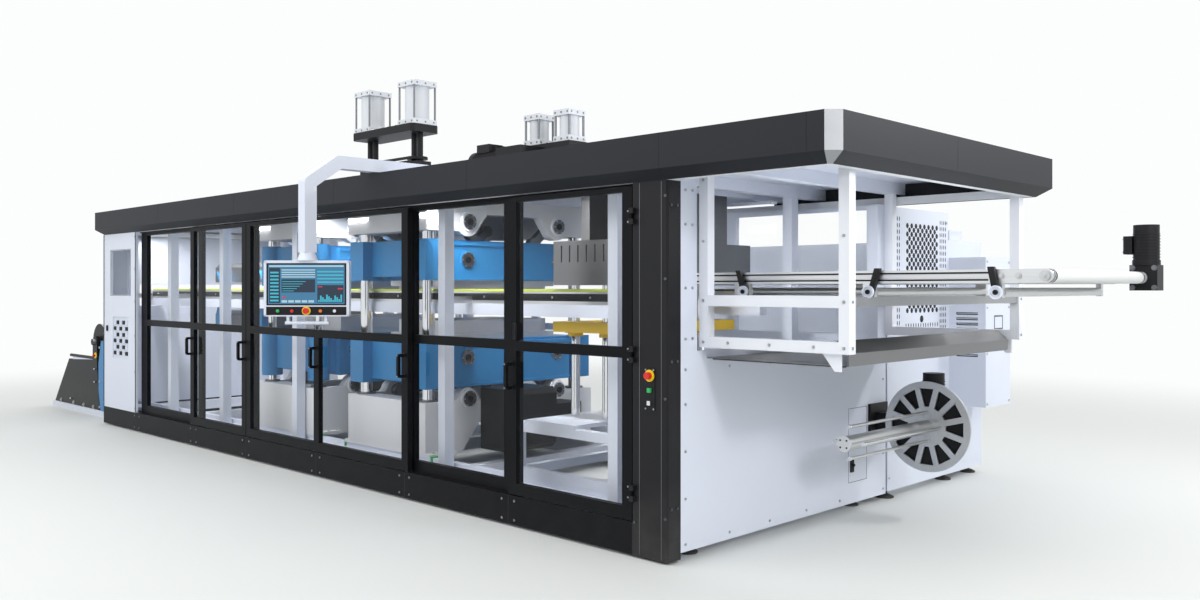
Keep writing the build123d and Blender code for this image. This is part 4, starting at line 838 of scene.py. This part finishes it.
def on_panel(name, tiles, depth, proud, finish, slot="black_powder", edge=0.0004):
    """Tiles that stand proud of a depth, given by their sides and ends, as one piece on the panel."""
    made = []
    for left, right, low, high in tiles:
        middle = ((left + right) / 2, depth - proud / 2, (low + high) / 2)
        made.append(box_at(middle, (right - left, proud, high - low)))
    whole = soften(joined(made), edge, 1)
    whole.rotation_euler = (0, 0, PANEL_TURN)
    whole.location = at(*PANEL_PLACE, 0)
    return hand_over(settle(), name, slot, finish, "control_panel")


on_panel("screen_bezel", [(-0.2735, 0.2735, 1.3805, 1.6705)], SCREEN_FACE, 0.0015, "black_powder")
on_panel("screen_ground", [(-0.262, 0.262, 1.390, 1.661)], SCREEN_FACE - 0.0015, 0.0006, "screen_blue")
dark_tiles = [(-0.255, -0.180, 1.397, 1.638), (-0.170, 0.060, 1.470, 1.560), (0.075, 0.255, 1.400, 1.520)]
on_panel("screen_dark_fields", dark_tiles, SCREEN_FACE - 0.0021, TILE, "screen_dark")
pale_tiles = [(-0.255, 0.255, 1.645, 1.656)]
pale_tiles += [(-0.170, 0.060, z, z + 0.008) for z in (1.572, 1.588, 1.604, 1.620)]
pale_tiles += [(-0.170 + 0.046 * i, -0.132 + 0.046 * i, 1.400, 1.416) for i in range(5)]
on_panel("screen_pale_fields", pale_tiles, SCREEN_FACE - 0.0021, TILE, "screen_pale")
cyan_tiles = [(-0.248, -0.190, 1.408 + 0.024 * i, 1.420 + 0.024 * i) for i in range(9)]
cyan_tiles += [(-0.165, -0.165 + 0.02 * (4 + i % 5), 1.478 + 0.016 * i, 1.482 + 0.016 * i) for i in range(5)]
cyan_tiles += [(0.080 + 0.014 * i, 0.091 + 0.014 * i, 1.404, 1.418 + 0.006 * ((i * 5) % 7))
               for i in range(12)]
cyan_tiles += [(0.075, 0.255, 1.535 + 0.024 * i, 1.545 + 0.024 * i) for i in range(4)]
on_panel("screen_cyan_fields", cyan_tiles, SCREEN_FACE - 0.0027, TILE, "screen_cyan")
red_tiles = [(0.215, 0.250, 1.490, 1.500), (0.080, 0.110, 1.505, 1.512), (-0.165, -0.140, 1.430, 1.440)]
on_panel("screen_red_fields", red_tiles, SCREEN_FACE - 0.0027, TILE, "screen_red")
print("screen tiles", len(dark_tiles) + len(pale_tiles) + len(cyan_tiles) + len(red_tiles))

# %% [markdown]
# Below the screen runs a black button strip. Its buttons are already in the frame's shape, so each
# takes its colour by place: green and red lamps, a stop button on a yellow collar in the middle, and
# an orange lamp and a key switch. Places are turned back into the panel's own directions first.

# %% Operator's panel: button strip
STRIP_FACE = -0.030
STRIP_Z = 1.3425


def panel_button(finish, across, radius=0.0125, proud=0.002):
    """Colour the button of the strip whose centre lies at a distance across."""
    def wanted(place, normal):
        x, y = place.x - PANEL_PLACE[0], place.y - PANEL_PLACE[1]
        along, out = cos(PANEL_TURN) * x + sin(PANEL_TURN) * y, cos(PANEL_TURN) * y - sin(PANEL_TURN) * x
        return (along - across) ** 2 + (place.z - STRIP_Z) ** 2 < radius ** 2 and out < STRIP_FACE - proud
    second_finish("control_panel", finish, wanted)


on_panel("button_strip", [(-0.275, 0.275, 1.3135, 1.3715)], STRIP_FACE, 0.0012, "black_powder")
panel_button("signal_green", -0.195)
panel_button("signal_red", -0.0975)
panel_button("signal_red", 0.0, 0.0215, 0.006)
panel_button("signal_orange", 0.0975)
panel_button("chrome_rod", 0.195)
collar = step(pattern_drum(0.030, 0.004, 32), "up", 0.004, 0.0015)
collar.rotation_euler = Euler((pi / 2, 0, PANEL_TURN))
collar.location = (PANEL_PLACE[0] + END_X, PANEL_PLACE[1] + FRONT_Y, STRIP_Z)
collar.location += Vector((sin(PANEL_TURN), -cos(PANEL_TURN), 0)) * -STRIP_FACE
clear_selection(collar)
hand_over(settle(), "panel_stop_collar", "table_yellow", "signal_yellow", "control_panel")
corner_screws = [(x - 0.006, x + 0.006, z - 0.006, z + 0.006) for x in (-0.284, 0.284)
                 for z in (1.312, 1.682)]
on_panel("panel_corner_screws", corner_screws, STRIP_FACE, 0.003, "bright_steel", "bright_steel", 0.002)
print("button strip fitted")

# %% [markdown]
# The outfeed conveyor is two slotted aluminium profiles with a white belt between them. Black
# slanted arms carry white return rollers. Each roller end shows a white ring round a black hub. A ring
# is a drum whose face is inset and pushed in, and the hub is a smaller drum in it.

# %% Conveyor: roller ends, arms and profile slots
CONVEYOR_FACE = 0.505
ARMS = {0.155: -0.045, 0.934: 0.045, 1.590: -0.030}
ROLLER_Z = 1.480
HEAD_X, HEAD_Z = 1.800, 1.556
ring = step(pattern_drum(0.032, 0.014, 28), "up", 0.006, -0.006)
hub = step(pattern_drum(0.012, 0.014, 16), "up", 0.004, -0.003)
screws("roller_end_rings", ring, [(x, CONVEYOR_FACE - 0.030, ROLLER_Z) for x in ARMS], "front", "white_sheet")
screws("roller_end_hubs", hub, [(x, CONVEYOR_FACE - 0.032, ROLLER_Z) for x in ARMS], "front", "black_powder")
drop(ring, hub)


def slide_faces(piece, wanted, move):
    """Move the wanted faces, which slants the sides that hang on them."""
    pick_faces(piece, wanted)
    bpy.ops.transform.translate(value=move)
    bpy.ops.object.mode_set(mode="OBJECT")
    return piece


def slanted_arm(x, lean):
    """A black arm that leans from the profile down to a roller end."""
    arm = block((x - 0.016, CONVEYOR_FACE - 0.030, 1.455), (x + 0.016, CONVEYOR_FACE - 0.001, 1.600))
    return soften(slide_faces(arm, lambda face: face.normal.z > 0.9, (lean, 0, 0)), 0.004)


hand_over(joined([slanted_arm(x, lean) for x, lean in ARMS.items()]), "roller_arms", "black_powder")
slots = [((-0.405, CONVEYOR_FACE - FILM, z - 0.004), (1.540, CONVEYOR_FACE + 0.002, z + 0.004))
         for z in (1.538, 1.572)]
gap_lines("profile_slots", slots)
cap = step(pattern_drum(0.024, 0.008, 28), "up", 0.004, 0.002)
screws("head_roller_cap", cap, [(HEAD_X, CONVEYOR_FACE - 0.002, HEAD_Z)], "front")
drop(cap)
screws("head_roller_bolt", frame_bolt, [(HEAD_X, CONVEYOR_FACE - 0.012, HEAD_Z)], "front")
screws("end_plate_bolts", frame_bolt, grid((1.60, 1.68), [CONVEYOR_FACE - 0.002], [HEAD_Z]), "front")
collars = [drum((HEAD_X, y, HEAD_Z), 0.0325, 0.022, "back", 32) for y in (0.549, 1.804)]
hand_over(soften(joined(collars), 0.003), "head_roller_collars", "black_powder")
print("conveyor arms", len(ARMS))

# %% [markdown]
# The conveyor's drive is a small geared motor. Its frame is cast with cooling fins, and a round cowl
# covers the fan on top. One thin fin is modelled and an array modifier sets the others above it. The
# cowl is a drum with a rounded rim and a sunk face.

# %% Conveyor motor


def repeat(piece, count, shift):
    """A row of copies, each a shift from the one before, by an array modifier."""
    row = piece.modifiers.new("row", "ARRAY")
    row.count = count
    row.use_relative_offset = False
    row.use_constant_offset = True
    row.constant_offset_displace = shift
    bpy.ops.object.modifier_apply(modifier=row.name)
    return piece


def finned_motor(name, x, y, radius, low, high, count=9):
    """Cooling fins round an upright motor, and the cowl of its fan."""
    fin = step(drum((x, y, low), radius + 0.004, 0.004, "up", 36), "up", 0.004, 0.001)
    hand_over(repeat(fin, count, (0, 0, (high - low) / count)), f"{name}_fins", "black_powder")
    cowl = drum((x, y, high - 0.004), radius + 0.003, 0.003, "up", 40)
    stepped(f"{name}_cowl", cowl, "up", 0.020, -0.0015, 0.001, "black_powder")


finned_motor("conveyor_motor", 1.810, 1.925, 0.065, 1.650, 1.800)
lid_places = grid([1.7045], (1.885, 1.965), (1.70, 1.77))
screws("terminal_lid_screws", small_screw, lid_places, "infeed")
gear_places = grid((1.755, 1.865), [1.8695], (1.502, 1.610))
screws("gear_case_bolts", frame_bolt, gear_places, "front", "grey_steel")
print("conveyor motor fitted")

# %% [markdown]
# The outfeed guard is a white welded frame. Clear sheet closes the space between its middle and low
# rails, and screws hold its posts and its lower rail. A pane is a thin block, because a flat face with
# no edge would look like film. A rubber strip lines the tray below.

# %% Outfeed guard
FRAME_FACES = {"front": 0.270, "back": 2.405}


def strip(name, low, high, slot, finish=None, edge=0.0015):
    """A bar, plate or cover with broken edges."""
    return hand_over(soften(block(low, high), edge), name, slot, finish)


for name, near, far in (("outfeed_clear_pane", 0.292, 0.297), ("outfeed_clear_pane_back", 2.378, 2.383)):
    hand_over(soften(block((0.064, near, 1.232), (0.881, far, 1.398)), 0.001, 1), name, "clear_glazing")
for side, face_y in FRAME_FACES.items():
    frame_places = grid((0.030, 0.915), [face_y], (1.20, 1.43, 1.76, 2.10))
    frame_places += grid((0.20, 0.47, 0.74), [face_y], [1.20])
    screws(f"outfeed_{side}_screws", panel_screw, frame_places, side)
screws("outfeed_end_screws", panel_screw, grid([0.945], (0.300, 2.375), (1.20, 1.43, 2.10)), "end")
strip("tray_rubber_strip", (0.03, 0.352, 1.098), (0.87, 0.372, 1.106), "foot_rubber", edge=0.002)
print("outfeed guard screws placed")

# %% [markdown]
# The scrap winder pulls the punched web onto four chrome rods. Each rod ends in a turned cap, the
# shaft ends in a white disc with four screws, and the wheel's hub carries a ring of bolts. They all lie
# on circles round one axis, so one function works out their places. They turn with the rotor.

# %% Winder details
WINDER_X, WINDER_Z = 0.410, 0.580


def round_winder(radius, y, turns):
    """Places on a circle round the winder's axis."""
    return [(WINDER_X + radius * cos(turn), y, WINDER_Z + radius * sin(turn)) for turn in turns]


rod_cap = step(pattern_drum(0.0135, 0.012, 20), "up", 0.003, 0.002)
end_disc = step(pattern_drum(0.047, 0.003, 40), "up", 0.006, 0.001)
ROTOR_PIECES = (("winder_rod_caps", rod_cap, 0.095, 1.185, (0, pi / 2, pi, 3 * pi / 2), "chrome_rod"),
                ("winder_end_disc", end_disc, 0.0, 1.115, (0,), "cast_white"),
                ("winder_disc_screws", small_screw, 0.030, 1.1115, (0.8, 2.37, 3.94, 5.5), "black_powder"),
                ("winder_hub_bolts", frame_bolt, 0.075, 2.157, (0.4, 1.19, 1.97, 2.76, 3.54, 4.33, 5.1, 5.9),
                 "bright_steel"))
for name, pattern, radius, y, turns, slot in ROTOR_PIECES:
    screws(name, pattern, round_winder(radius, y, turns), "front", slot, body="winder_rotor")
drop(rod_cap, end_disc)
finned_motor("winder_motor", WINDER_X, 2.259, 0.070, 0.735, 0.890)
print("winder pieces", len(ROTOR_PIECES))

# %% [markdown]
# The tower beside the outfeed is a cabinet of perforated sheet: a field of hexagonal holes in
# the middle with columns of upright slots at both sides. A real hole in thin sheet shows black, so
# one flat six-sided stud with an inset face is made and two array modifiers repeat it. The studs stand
# out by less than a millimetre.

# %% Perforated tower


def perforation(name, sides, radius, tall, start, across, up, pitch, lift):
    """A field of equal dark holes on the tower's end face."""
    clear_selection()
    bpy.ops.mesh.primitive_cylinder_add(vertices=sides, radius=radius, depth=0.001, location=at(0.0, *start),
                                        rotation=FACING["end"])
    bpy.context.object.scale = (tall, 1, 1)
    hole = step(settle(), "end", radius * 0.2, 0.0002)
    hand_over(repeat(repeat(hole, across, (0, pitch, 0)), up, (0, 0, lift)), name, "black_powder")


perforation("tower_hexagon_holes", 6, 0.021, 1.0, (2.68, 1.335), 8, 11, 0.066, 0.062)
perforation("tower_hexagon_holes_between", 6, 0.021, 1.0, (2.713, 1.366), 7, 10, 0.066, 0.062)
perforation("tower_slots_near", 8, 0.006, 3.0, (2.47, 1.20), 4, 18, 0.030, 0.047)
perforation("tower_slots_far", 8, 0.006, 3.0, (3.20, 1.20), 4, 18, 0.030, 0.047)
perforation("tower_slots_low", 8, 0.006, 3.0, (2.66, 1.13), 14, 3, 0.038, 0.047)
screws("tower_screws", panel_screw, grid([0.0], (2.41, 3.305), (0.15, 0.6, 1.05, 1.5, 2.0)), "end")
tower_hole = drum((0.0, 2.90, 1.270), 0.026, 0.001, "end", 28)
hand_over(step(tower_hole, "end", 0.004, 0.0003), "tower_round_hole", "black_powder")
print("tower perforated")

# %% [markdown]
# The cooling unit on the cabinet has a louvred side, a sunk grip and a small red display. Each louvre
# blade is a thin slanted plate: a block whose outer edge is moved down.

# %% Cooling unit
blades = []
for number in range(9):
    z = 0.9935 + 0.040 * number
    blade = block((0.062, 3.352, z), (0.228, 3.384, z + 0.003))
    blades.append(slide_faces(blade, lambda face: face.normal.y < -0.9, (0, 0, -0.012)))
hand_over(soften(joined(blades), 0.0006, 1), "cooler_blades", "white_sheet")
grip_plate = block((0.288, 3.500, 1.180), (0.292, 3.660, 1.290))
stepped("cooler_grip", grip_plate, "end", 0.012, -0.004, 0.001, "grey_steel")
display = step(block((0.289, 3.520, 1.070), (0.2925, 3.640, 1.110)), "end", 0.004, -0.0015)
hand_over(soften(display, 0.0006, 1), "cooler_display_frame", "black_powder")
digits = [block((0.2905, 3.535 + 0.030 * i, 1.080), (0.2918, 3.553 + 0.030 * i, 1.100)) for i in range(4)]
hand_over(soften(joined(digits), 0.0004, 1), "cooler_display_lamps", "black_powder", "screen_red")
screws("cooler_screws", panel_screw, grid([0.290], (3.375, 3.775), (0.62, 1.0, 1.35, 1.70)), "end")
top_box = block((-0.10, 3.40, 1.870), (-0.02, 3.62, 1.950))
stepped("cabinet_top_box", top_box, "end", 0.010, -0.003, 0.002, "white_sheet")
lamp_base = drum((-0.19, 3.50, 1.870), 0.030, 0.030, "up", 28)
stepped("cabinet_lamp", lamp_base, "up", 0.004, 0.020, 0.002, "white_sheet")
print("cooling unit fitted")

# %% [markdown]
# The four air cylinders on the roof have square end caps, held together by four tie rods. The caps
# are clear-lacquered aluminium, and the rods are dark. The rods take their dark finish by
# place: they stand near the corners, outside the barrel. Small ports are screwed into the caps.

# %% Air cylinders
CYLINDERS = ((-4.670, 1.180, 2.955, 3.341, 0.250), (-3.960, 1.180, 2.955, 3.341, 0.250),
             (-2.330, 1.180, 2.605, 2.850, 0.175), (-1.990, 1.180, 2.605, 2.850, 0.175))
CAP_HEIGHT = 0.045


def on_tie_rod(place, normal):
    """True on the rods between the two caps of any cylinder."""
    for x, y, low, high, side in CYLINDERS:
        away = max(abs(place.x - x), abs(place.y - y))
        outside = (place.x - x) ** 2 + (place.y - y) ** 2 > (side / 2) ** 2
        if away < side / 2 and outside and low + CAP_HEIGHT + 0.001 < place.z < high - CAP_HEIGHT - 0.001:
            return True
    return False


second_finish("tie_rod_cylinders", "grey_steel", on_tie_rod)
port_places, end_ports = [], []
for x, y, low, high, side in CYLINDERS:
    cap_middles = (low + CAP_HEIGHT / 2, high - CAP_HEIGHT / 2)
    port_places += [(x, y - side / 2, z) for z in cap_middles]
    port_places += [(x + dx * side * 0.38, y - side / 2, z) for dx in (-1, 1) for z in cap_middles]
    end_ports += [(x + side / 2, y + dy * side * 0.36, z) for dy in (-1, 0, 1) for z in cap_middles]
port = step(pattern_drum(0.009, 0.0012, 16), "up", 0.003, -0.0006)
screws("cylinder_ports", port, port_places, "front", "grey_steel")
screws("cylinder_end_ports", port, end_ports, "end", "grey_steel")
drop(port)
print("cylinder ports", len(port_places) + len(end_ports))

# %% [markdown]
# Both presses are worked by toggle links whose pins turn in bored bosses. Each pin end is closed by a
# ground steel ring with a dark middle and six bolts. The ring is modelled once and copied to all
# pin lines, on the sides that look at the infeed and at the outfeed.

# %% Bearing rings of the presses
PRESS_SIDES = ((-5.265, -4.235), (-3.690, -2.630))
PIN_YS = (0.710, 1.650)
PIN_LINES = ((0.650, 0.022), (0.965, 0.0), (1.717, 0.0), (2.010, 0.022))
BOLT_RING = 0.053
bearing_ring = step(pattern_drum(0.060, 0.008, 36), "up", 0.014, -0.004)
bearing_middle = step(pattern_drum(0.026, 0.012, 24), "up", 0.007, -0.003)
outer_places = [(high + proud, y, z) for low, high in PRESS_SIDES for y in PIN_YS for z, proud in PIN_LINES]
inner_places = [(low - proud, y, z) for low, high in PRESS_SIDES for y in PIN_YS for z, proud in PIN_LINES]
for side, places in (("end", outer_places), ("infeed", inner_places)):
    screws(f"bearing_rings_{side}", bearing_ring, places, side, "grey_steel")
    screws(f"bearing_middles_{side}", bearing_middle, places, side, "black_powder")
drop(bearing_ring, bearing_middle)
ring_bolts = [(x + 0.007, y + BOLT_RING * cos(turn), z + BOLT_RING * sin(turn)) for x, y, z in outer_places
              for turn in (0.0, 1.047, 2.094, 3.142, 4.189, 5.236)]
screws("bearing_bolts", small_screw, ring_bolts, "end")
foot_bolts = [(x, y, 0.262) for low, high in PRESS_SIDES for x in (low - 0.028, high + 0.028)
              for y in (0.36, 0.44, 0.52, 1.84, 1.92, 2.00)]
screws("press_foot_bolts", heavy_bolt, foot_bolts, "up")
print("bearings", len(outer_places) + len(inner_places))

# %% [markdown]
# The presses can be moved along two ground rails. Wipers of green plastic close the carriages at
# both ends, and a flanged steel collar sits where each column enters its platen. A collar is a short
# drum: its two faces are inset, and the insets are bridged, which opens it for the column.

# %% Rail wipers and column collars
wipers = [block((x, y - 0.036, 0.205), (x + 0.014, y + 0.036, 0.250)) for low, high in PRESS_SIDES
          for x in (low - 0.070, high + 0.056) for y in (0.350, 2.010)]
hand_over(soften(joined(wipers), 0.002), "rail_wipers", "platen_blue", "signal_green")
COLUMNS = [(x, y, radius) for low, high, radius in ((-5.160, -4.340, 0.038), (-3.585, -2.735, 0.048))
           for x in (low, high) for y in (0.415, 1.945)]
COLLAR_WIDTH, COLLAR_HEIGHT = 0.030, 0.014


def column_collar(x, y, radius, z):
    """A flanged ring that sits round a column."""
    clear_selection()
    bpy.ops.mesh.primitive_cylinder_add(vertices=36, radius=radius + COLLAR_WIDTH, depth=COLLAR_HEIGHT,
                                        location=at(x, y, z + COLLAR_HEIGHT / 2))
    collar = settle()
    pick_faces(collar, lambda face: abs(face.normal.z) > 0.9)
    bpy.ops.mesh.inset(thickness=0.028)
    bpy.ops.mesh.bridge_edge_loops()
    bpy.ops.object.mode_set(mode="OBJECT")
    return collar


collars = [column_collar(x, y, radius, z) for x, y, radius in COLUMNS for z in (0.640, 1.115)]
hand_over(soften(joined(collars), 0.002, 1), "column_collars", "grey_steel")
print("column collars", len(collars))

# %% [markdown]
# The film is carried by two endless pin chains that run in guides along the whole machine. A chain
# is a shape repeated hundreds of times, so its link has only a few faces: a small block whose ends are
# pulled in. An array modifier sets one beside the other. A green plastic strip covers each guide.

# %% Film chains
CHAIN_START, CHAIN_END, LINK_PITCH = -8.05, -0.72, 0.0508
LINKS = int((CHAIN_END - CHAIN_START) / LINK_PITCH)
for side, y, guard_y in (("front", 0.545, 0.479), ("back", 1.815, 1.863)):
    link = block((CHAIN_START, y - 0.007, 1.4755), (CHAIN_START + LINK_PITCH * 0.82, y + 0.007, 1.4935))
    pick_faces(link, lambda face: abs(face.normal.x) > 0.9)
    bpy.ops.transform.resize(value=(1, 0.6, 0.6))
    bpy.ops.object.mode_set(mode="OBJECT")
    hand_over(repeat(link, LINKS, (LINK_PITCH, 0, 0)), f"film_chain_{side}", "grey_steel")
    strip(f"film_guard_{side}", (CHAIN_START, guard_y, 1.4752), (CHAIN_END, guard_y + 0.018, 1.492),
          "profile_alloy", "strip_green")
GUIDE_FACE = 0.4735
strip("chain_guide_face_front", (CHAIN_START, GUIDE_FACE, 1.412), (CHAIN_END, 0.4752, 1.462), "profile_alloy",
      "black_powder", 0.0006)
screws("chain_guide_bolts", panel_screw, [(-7.9 + 0.36 * i, GUIDE_FACE, 1.437) for i in range(20)], "front")
print("links in a chain", LINKS)

# %% [markdown]
# Light strips under the roof's front and back edges make the inside bright. Each is a shallow white
# housing with a glowing cover, and the lamps that were placed at the start give their light.

# %% Light strips
STRIP_SPANS = ((-7.85, -7.05), (-6.90, -5.87), (-5.70, -4.48), (-4.30, -2.40), (-2.20, -0.70))
for side, y in (("front", 0.345), ("back", 2.015)):
    for number, (start, end) in enumerate(STRIP_SPANS):
        label = f"{side}_{number}"
        housing = block((start, y - 0.035, 2.112), (end, y + 0.035, 2.140))
        hand_over(soften(housing, 0.004), f"light_strip_{label}", "white_sheet")
        cover = block((start + 0.02, y - 0.026, 2.104), (end - 0.02, y + 0.026, 2.1125))
        stepped(f"light_cover_{label}", cover, "down", 0.004, 0.002, 0.001, "white_sheet", "lamp_cover")
print("light strips", 2 * len(STRIP_SPANS))

# %% [markdown]
# On the roof stand the drives of the plug and of the stacker. The roof motor lies on its side: its fins
# are a row of thin rings and its fan cowl has a sunk face. Bolts hold the plate under the cylinders.

# %% Roof drives
ROOF_MOTOR_Y, ROOF_MOTOR_Z = 0.9455, 2.485
fin = step(drum((-2.760, ROOF_MOTOR_Y, ROOF_MOTOR_Z), 0.099, 0.005, "end", 36), "end", 0.004, 0.001)
hand_over(repeat(fin, 14, (0.022, 0, 0)), "roof_motor_fins", "black_powder")
cowl = drum((-2.8095, ROOF_MOTOR_Y, ROOF_MOTOR_Z), 0.097, 0.004, "infeed", 40)
stepped("roof_motor_cowl", cowl, "infeed", 0.030, -0.002, 0.001, "black_powder")
marker = drum((-2.55, ROOF_MOTOR_Y - 0.097, ROOF_MOTOR_Z + 0.01), 0.020, 0.004, "front")
stepped("roof_motor_marker", marker, "front", 0.004, 0.001, 0.001, "table_yellow")
plate_bolts = grid((-4.49, -4.37, -4.26, -4.14), (1.065, 1.295), [2.955])
screws("plug_plate_bolts", heavy_bolt, plate_bolts, "up")
print("roof bolts", len(plate_bolts))

# %% [markdown]
# The panel arm is a welded box tube that is bolted to the roof with a square flange. The flange is a
# plate with a stepped face and a bolt at each corner, and small screws close the arm's end.

# %% Panel arm flange
flange = block((-2.860, 0.370, 2.2602), (-2.680, 0.550, 2.272))
stepped("arm_root_flange", flange, "up", 0.006, 0.002, 0.002, "white_sheet")
screws("arm_root_bolts", heavy_bolt, grid((-2.842, -2.698), (0.388, 0.532), [2.274]), "up")
screws("arm_root_screws", small_screw, grid([-2.725], (0.43, 0.49), (2.30, 2.34)), "end")
print("arm flange fitted")

# %% [markdown]
# Beside the infeed are the machine's connections: a sunk field of black and white couplings, a latch,
# and the black edge trims of the white cover. One coupling of each kind is modelled and copied.

# %% Infeed side
COUPLING_FLOOR = 0.0125
COUPLING_DEPTH = 0.012
KINDS = (("couplings_dark", (0.054, 0.040), 0.006, "black_powder"),
         ("couplings_pale", (0.060, 0.046), 0.010, "white_sheet"))
for kind, (name, (width, height), border, slot) in enumerate(KINDS):
    coupling = box_at((0, 0, COUPLING_DEPTH / 2), (width, height, COUPLING_DEPTH))
    coupling = soften(step(coupling, "up", border, -COUPLING_DEPTH * 0.4), 0.0015, 1)
    spots = [(-7.880 + 0.080 * i, COUPLING_FLOOR, 0.80 + 0.066 * k) for i in range(5) for k in range(6)
             if (i + k) % 2 == kind]
    screws(name, coupling, spots, "front", slot)
    drop(coupling)
stepped("infeed_latch", block((-8.100, -0.012, 1.030), (-8.065, 0.0, 1.090)), "front", 0.005, -0.003, 0.001,
        "black_powder")
strip("infeed_edge_trim", (-8.200, -0.003, 0.198), (-8.180, 0.0, 2.084), "black_powder")
strip("infeed_cover_trim", (-7.318, -0.002, 0.198), (-7.300, 0.0, 2.084), "black_powder", edge=0.0006)
seal = [((-8.004, -FILM, z), (-7.436, 0.001, z + 0.004)) for z in (1.417, 1.909)]
seal += [((x, -FILM, 1.417), (x + 0.004, 0.001, 1.913)) for x in (-8.006, -7.438)]
gap_lines("infeed_window_seal", seal)
print("infeed side fitted")

# %% [markdown]
# The unwinder's cheek plate carries the brake controls: a stop button on a yellow collar and turned
# knobs. The handrail is white. Each knob is a thin drum whose top is first set out wider and pulled
# out, and then inset and pulled out again, which leaves a waist to grip.

# %% Unwinder controls
CHEEK_FACE = 0.230
STOP_PLACE = Vector((-9.10, CHEEK_FACE, 0.70))
REEL_X, REEL_Z, REEL_RADIUS = -9.14, 0.86, 0.205
second_finish("unwinder_cheeks", "white_sheet", lambda p, n: 0.611 < p.z < 0.652 and -9.88 < p.x < -9.22)
second_finish("unwinder_reel", "black_powder",
              lambda p, n: abs(n.y) > 0.9 and (p.x - REEL_X) ** 2 + (p.z - REEL_Z) ** 2 < REEL_RADIUS ** 2)
collar = drum(STOP_PLACE, 0.034, 0.010, "front", 32)
stepped("unwinder_stop_collar", collar, "front", 0.004, 0.002, 0.001, "table_yellow", "signal_yellow")
button = drum(STOP_PLACE - Vector((0, 0.010, 0)), 0.014, 0.016, "front")
stepped("unwinder_stop_button", button, "front", -0.007, 0.012, 0.003, "table_yellow", "signal_red")
knob = soften(step(step(pattern_drum(0.010, 0.020, 20), "up", -0.010, 0.006), "up", 0.003, 0.004), 0.0012)
knob_places = [(-9.09, CHEEK_FACE, 0.542), (-9.09, CHEEK_FACE, 0.389), (-9.90, CHEEK_FACE, 0.135)]
screws("unwinder_knobs", knob, knob_places, "front", "chrome_rod")
drop(knob)
cheek_bolts = grid((-10.30, -9.85, -9.50, -9.18), [CHEEK_FACE], [0.085])
screws("cheek_bolts", heavy_bolt, cheek_bolts, "front")
column_bolts = grid((-8.955, -8.725), [0.220], (0.10, 0.40, 0.80))
screws("blue_column_bolts", frame_bolt, column_bolts, "front")
print("unwinder controls fitted")

# %% [markdown]
# The roof is plainer. Its sheet is laid in panels, with a joint between two. Screws run along both
# sides of each joint, except the one under the cylinders.

# %% Roof joints
gap_lines("roof_sheet_joints", [((x - 0.002, 0.02, 2.2600), (x + 0.002, 2.40, 2.2608))
                                for x in (-6.45, -5.40, -3.50, -1.65, -0.40)])
roof_places = [(x + side * 0.04, y, 2.260) for x in (-6.45, -5.40, -1.65, -0.40) for side in (-1, 1)
               for y in (0.10, 0.65, 1.20, 1.75, 2.30)]
screws("roof_sheet_screws", panel_screw, roof_places, "up")
print("roof finished")

# %% [markdown]
# The screw patterns have done their work and go.

# %% Drop the screw patterns
clear_selection()
drop(small_screw, panel_screw, frame_bolt, heavy_bolt)
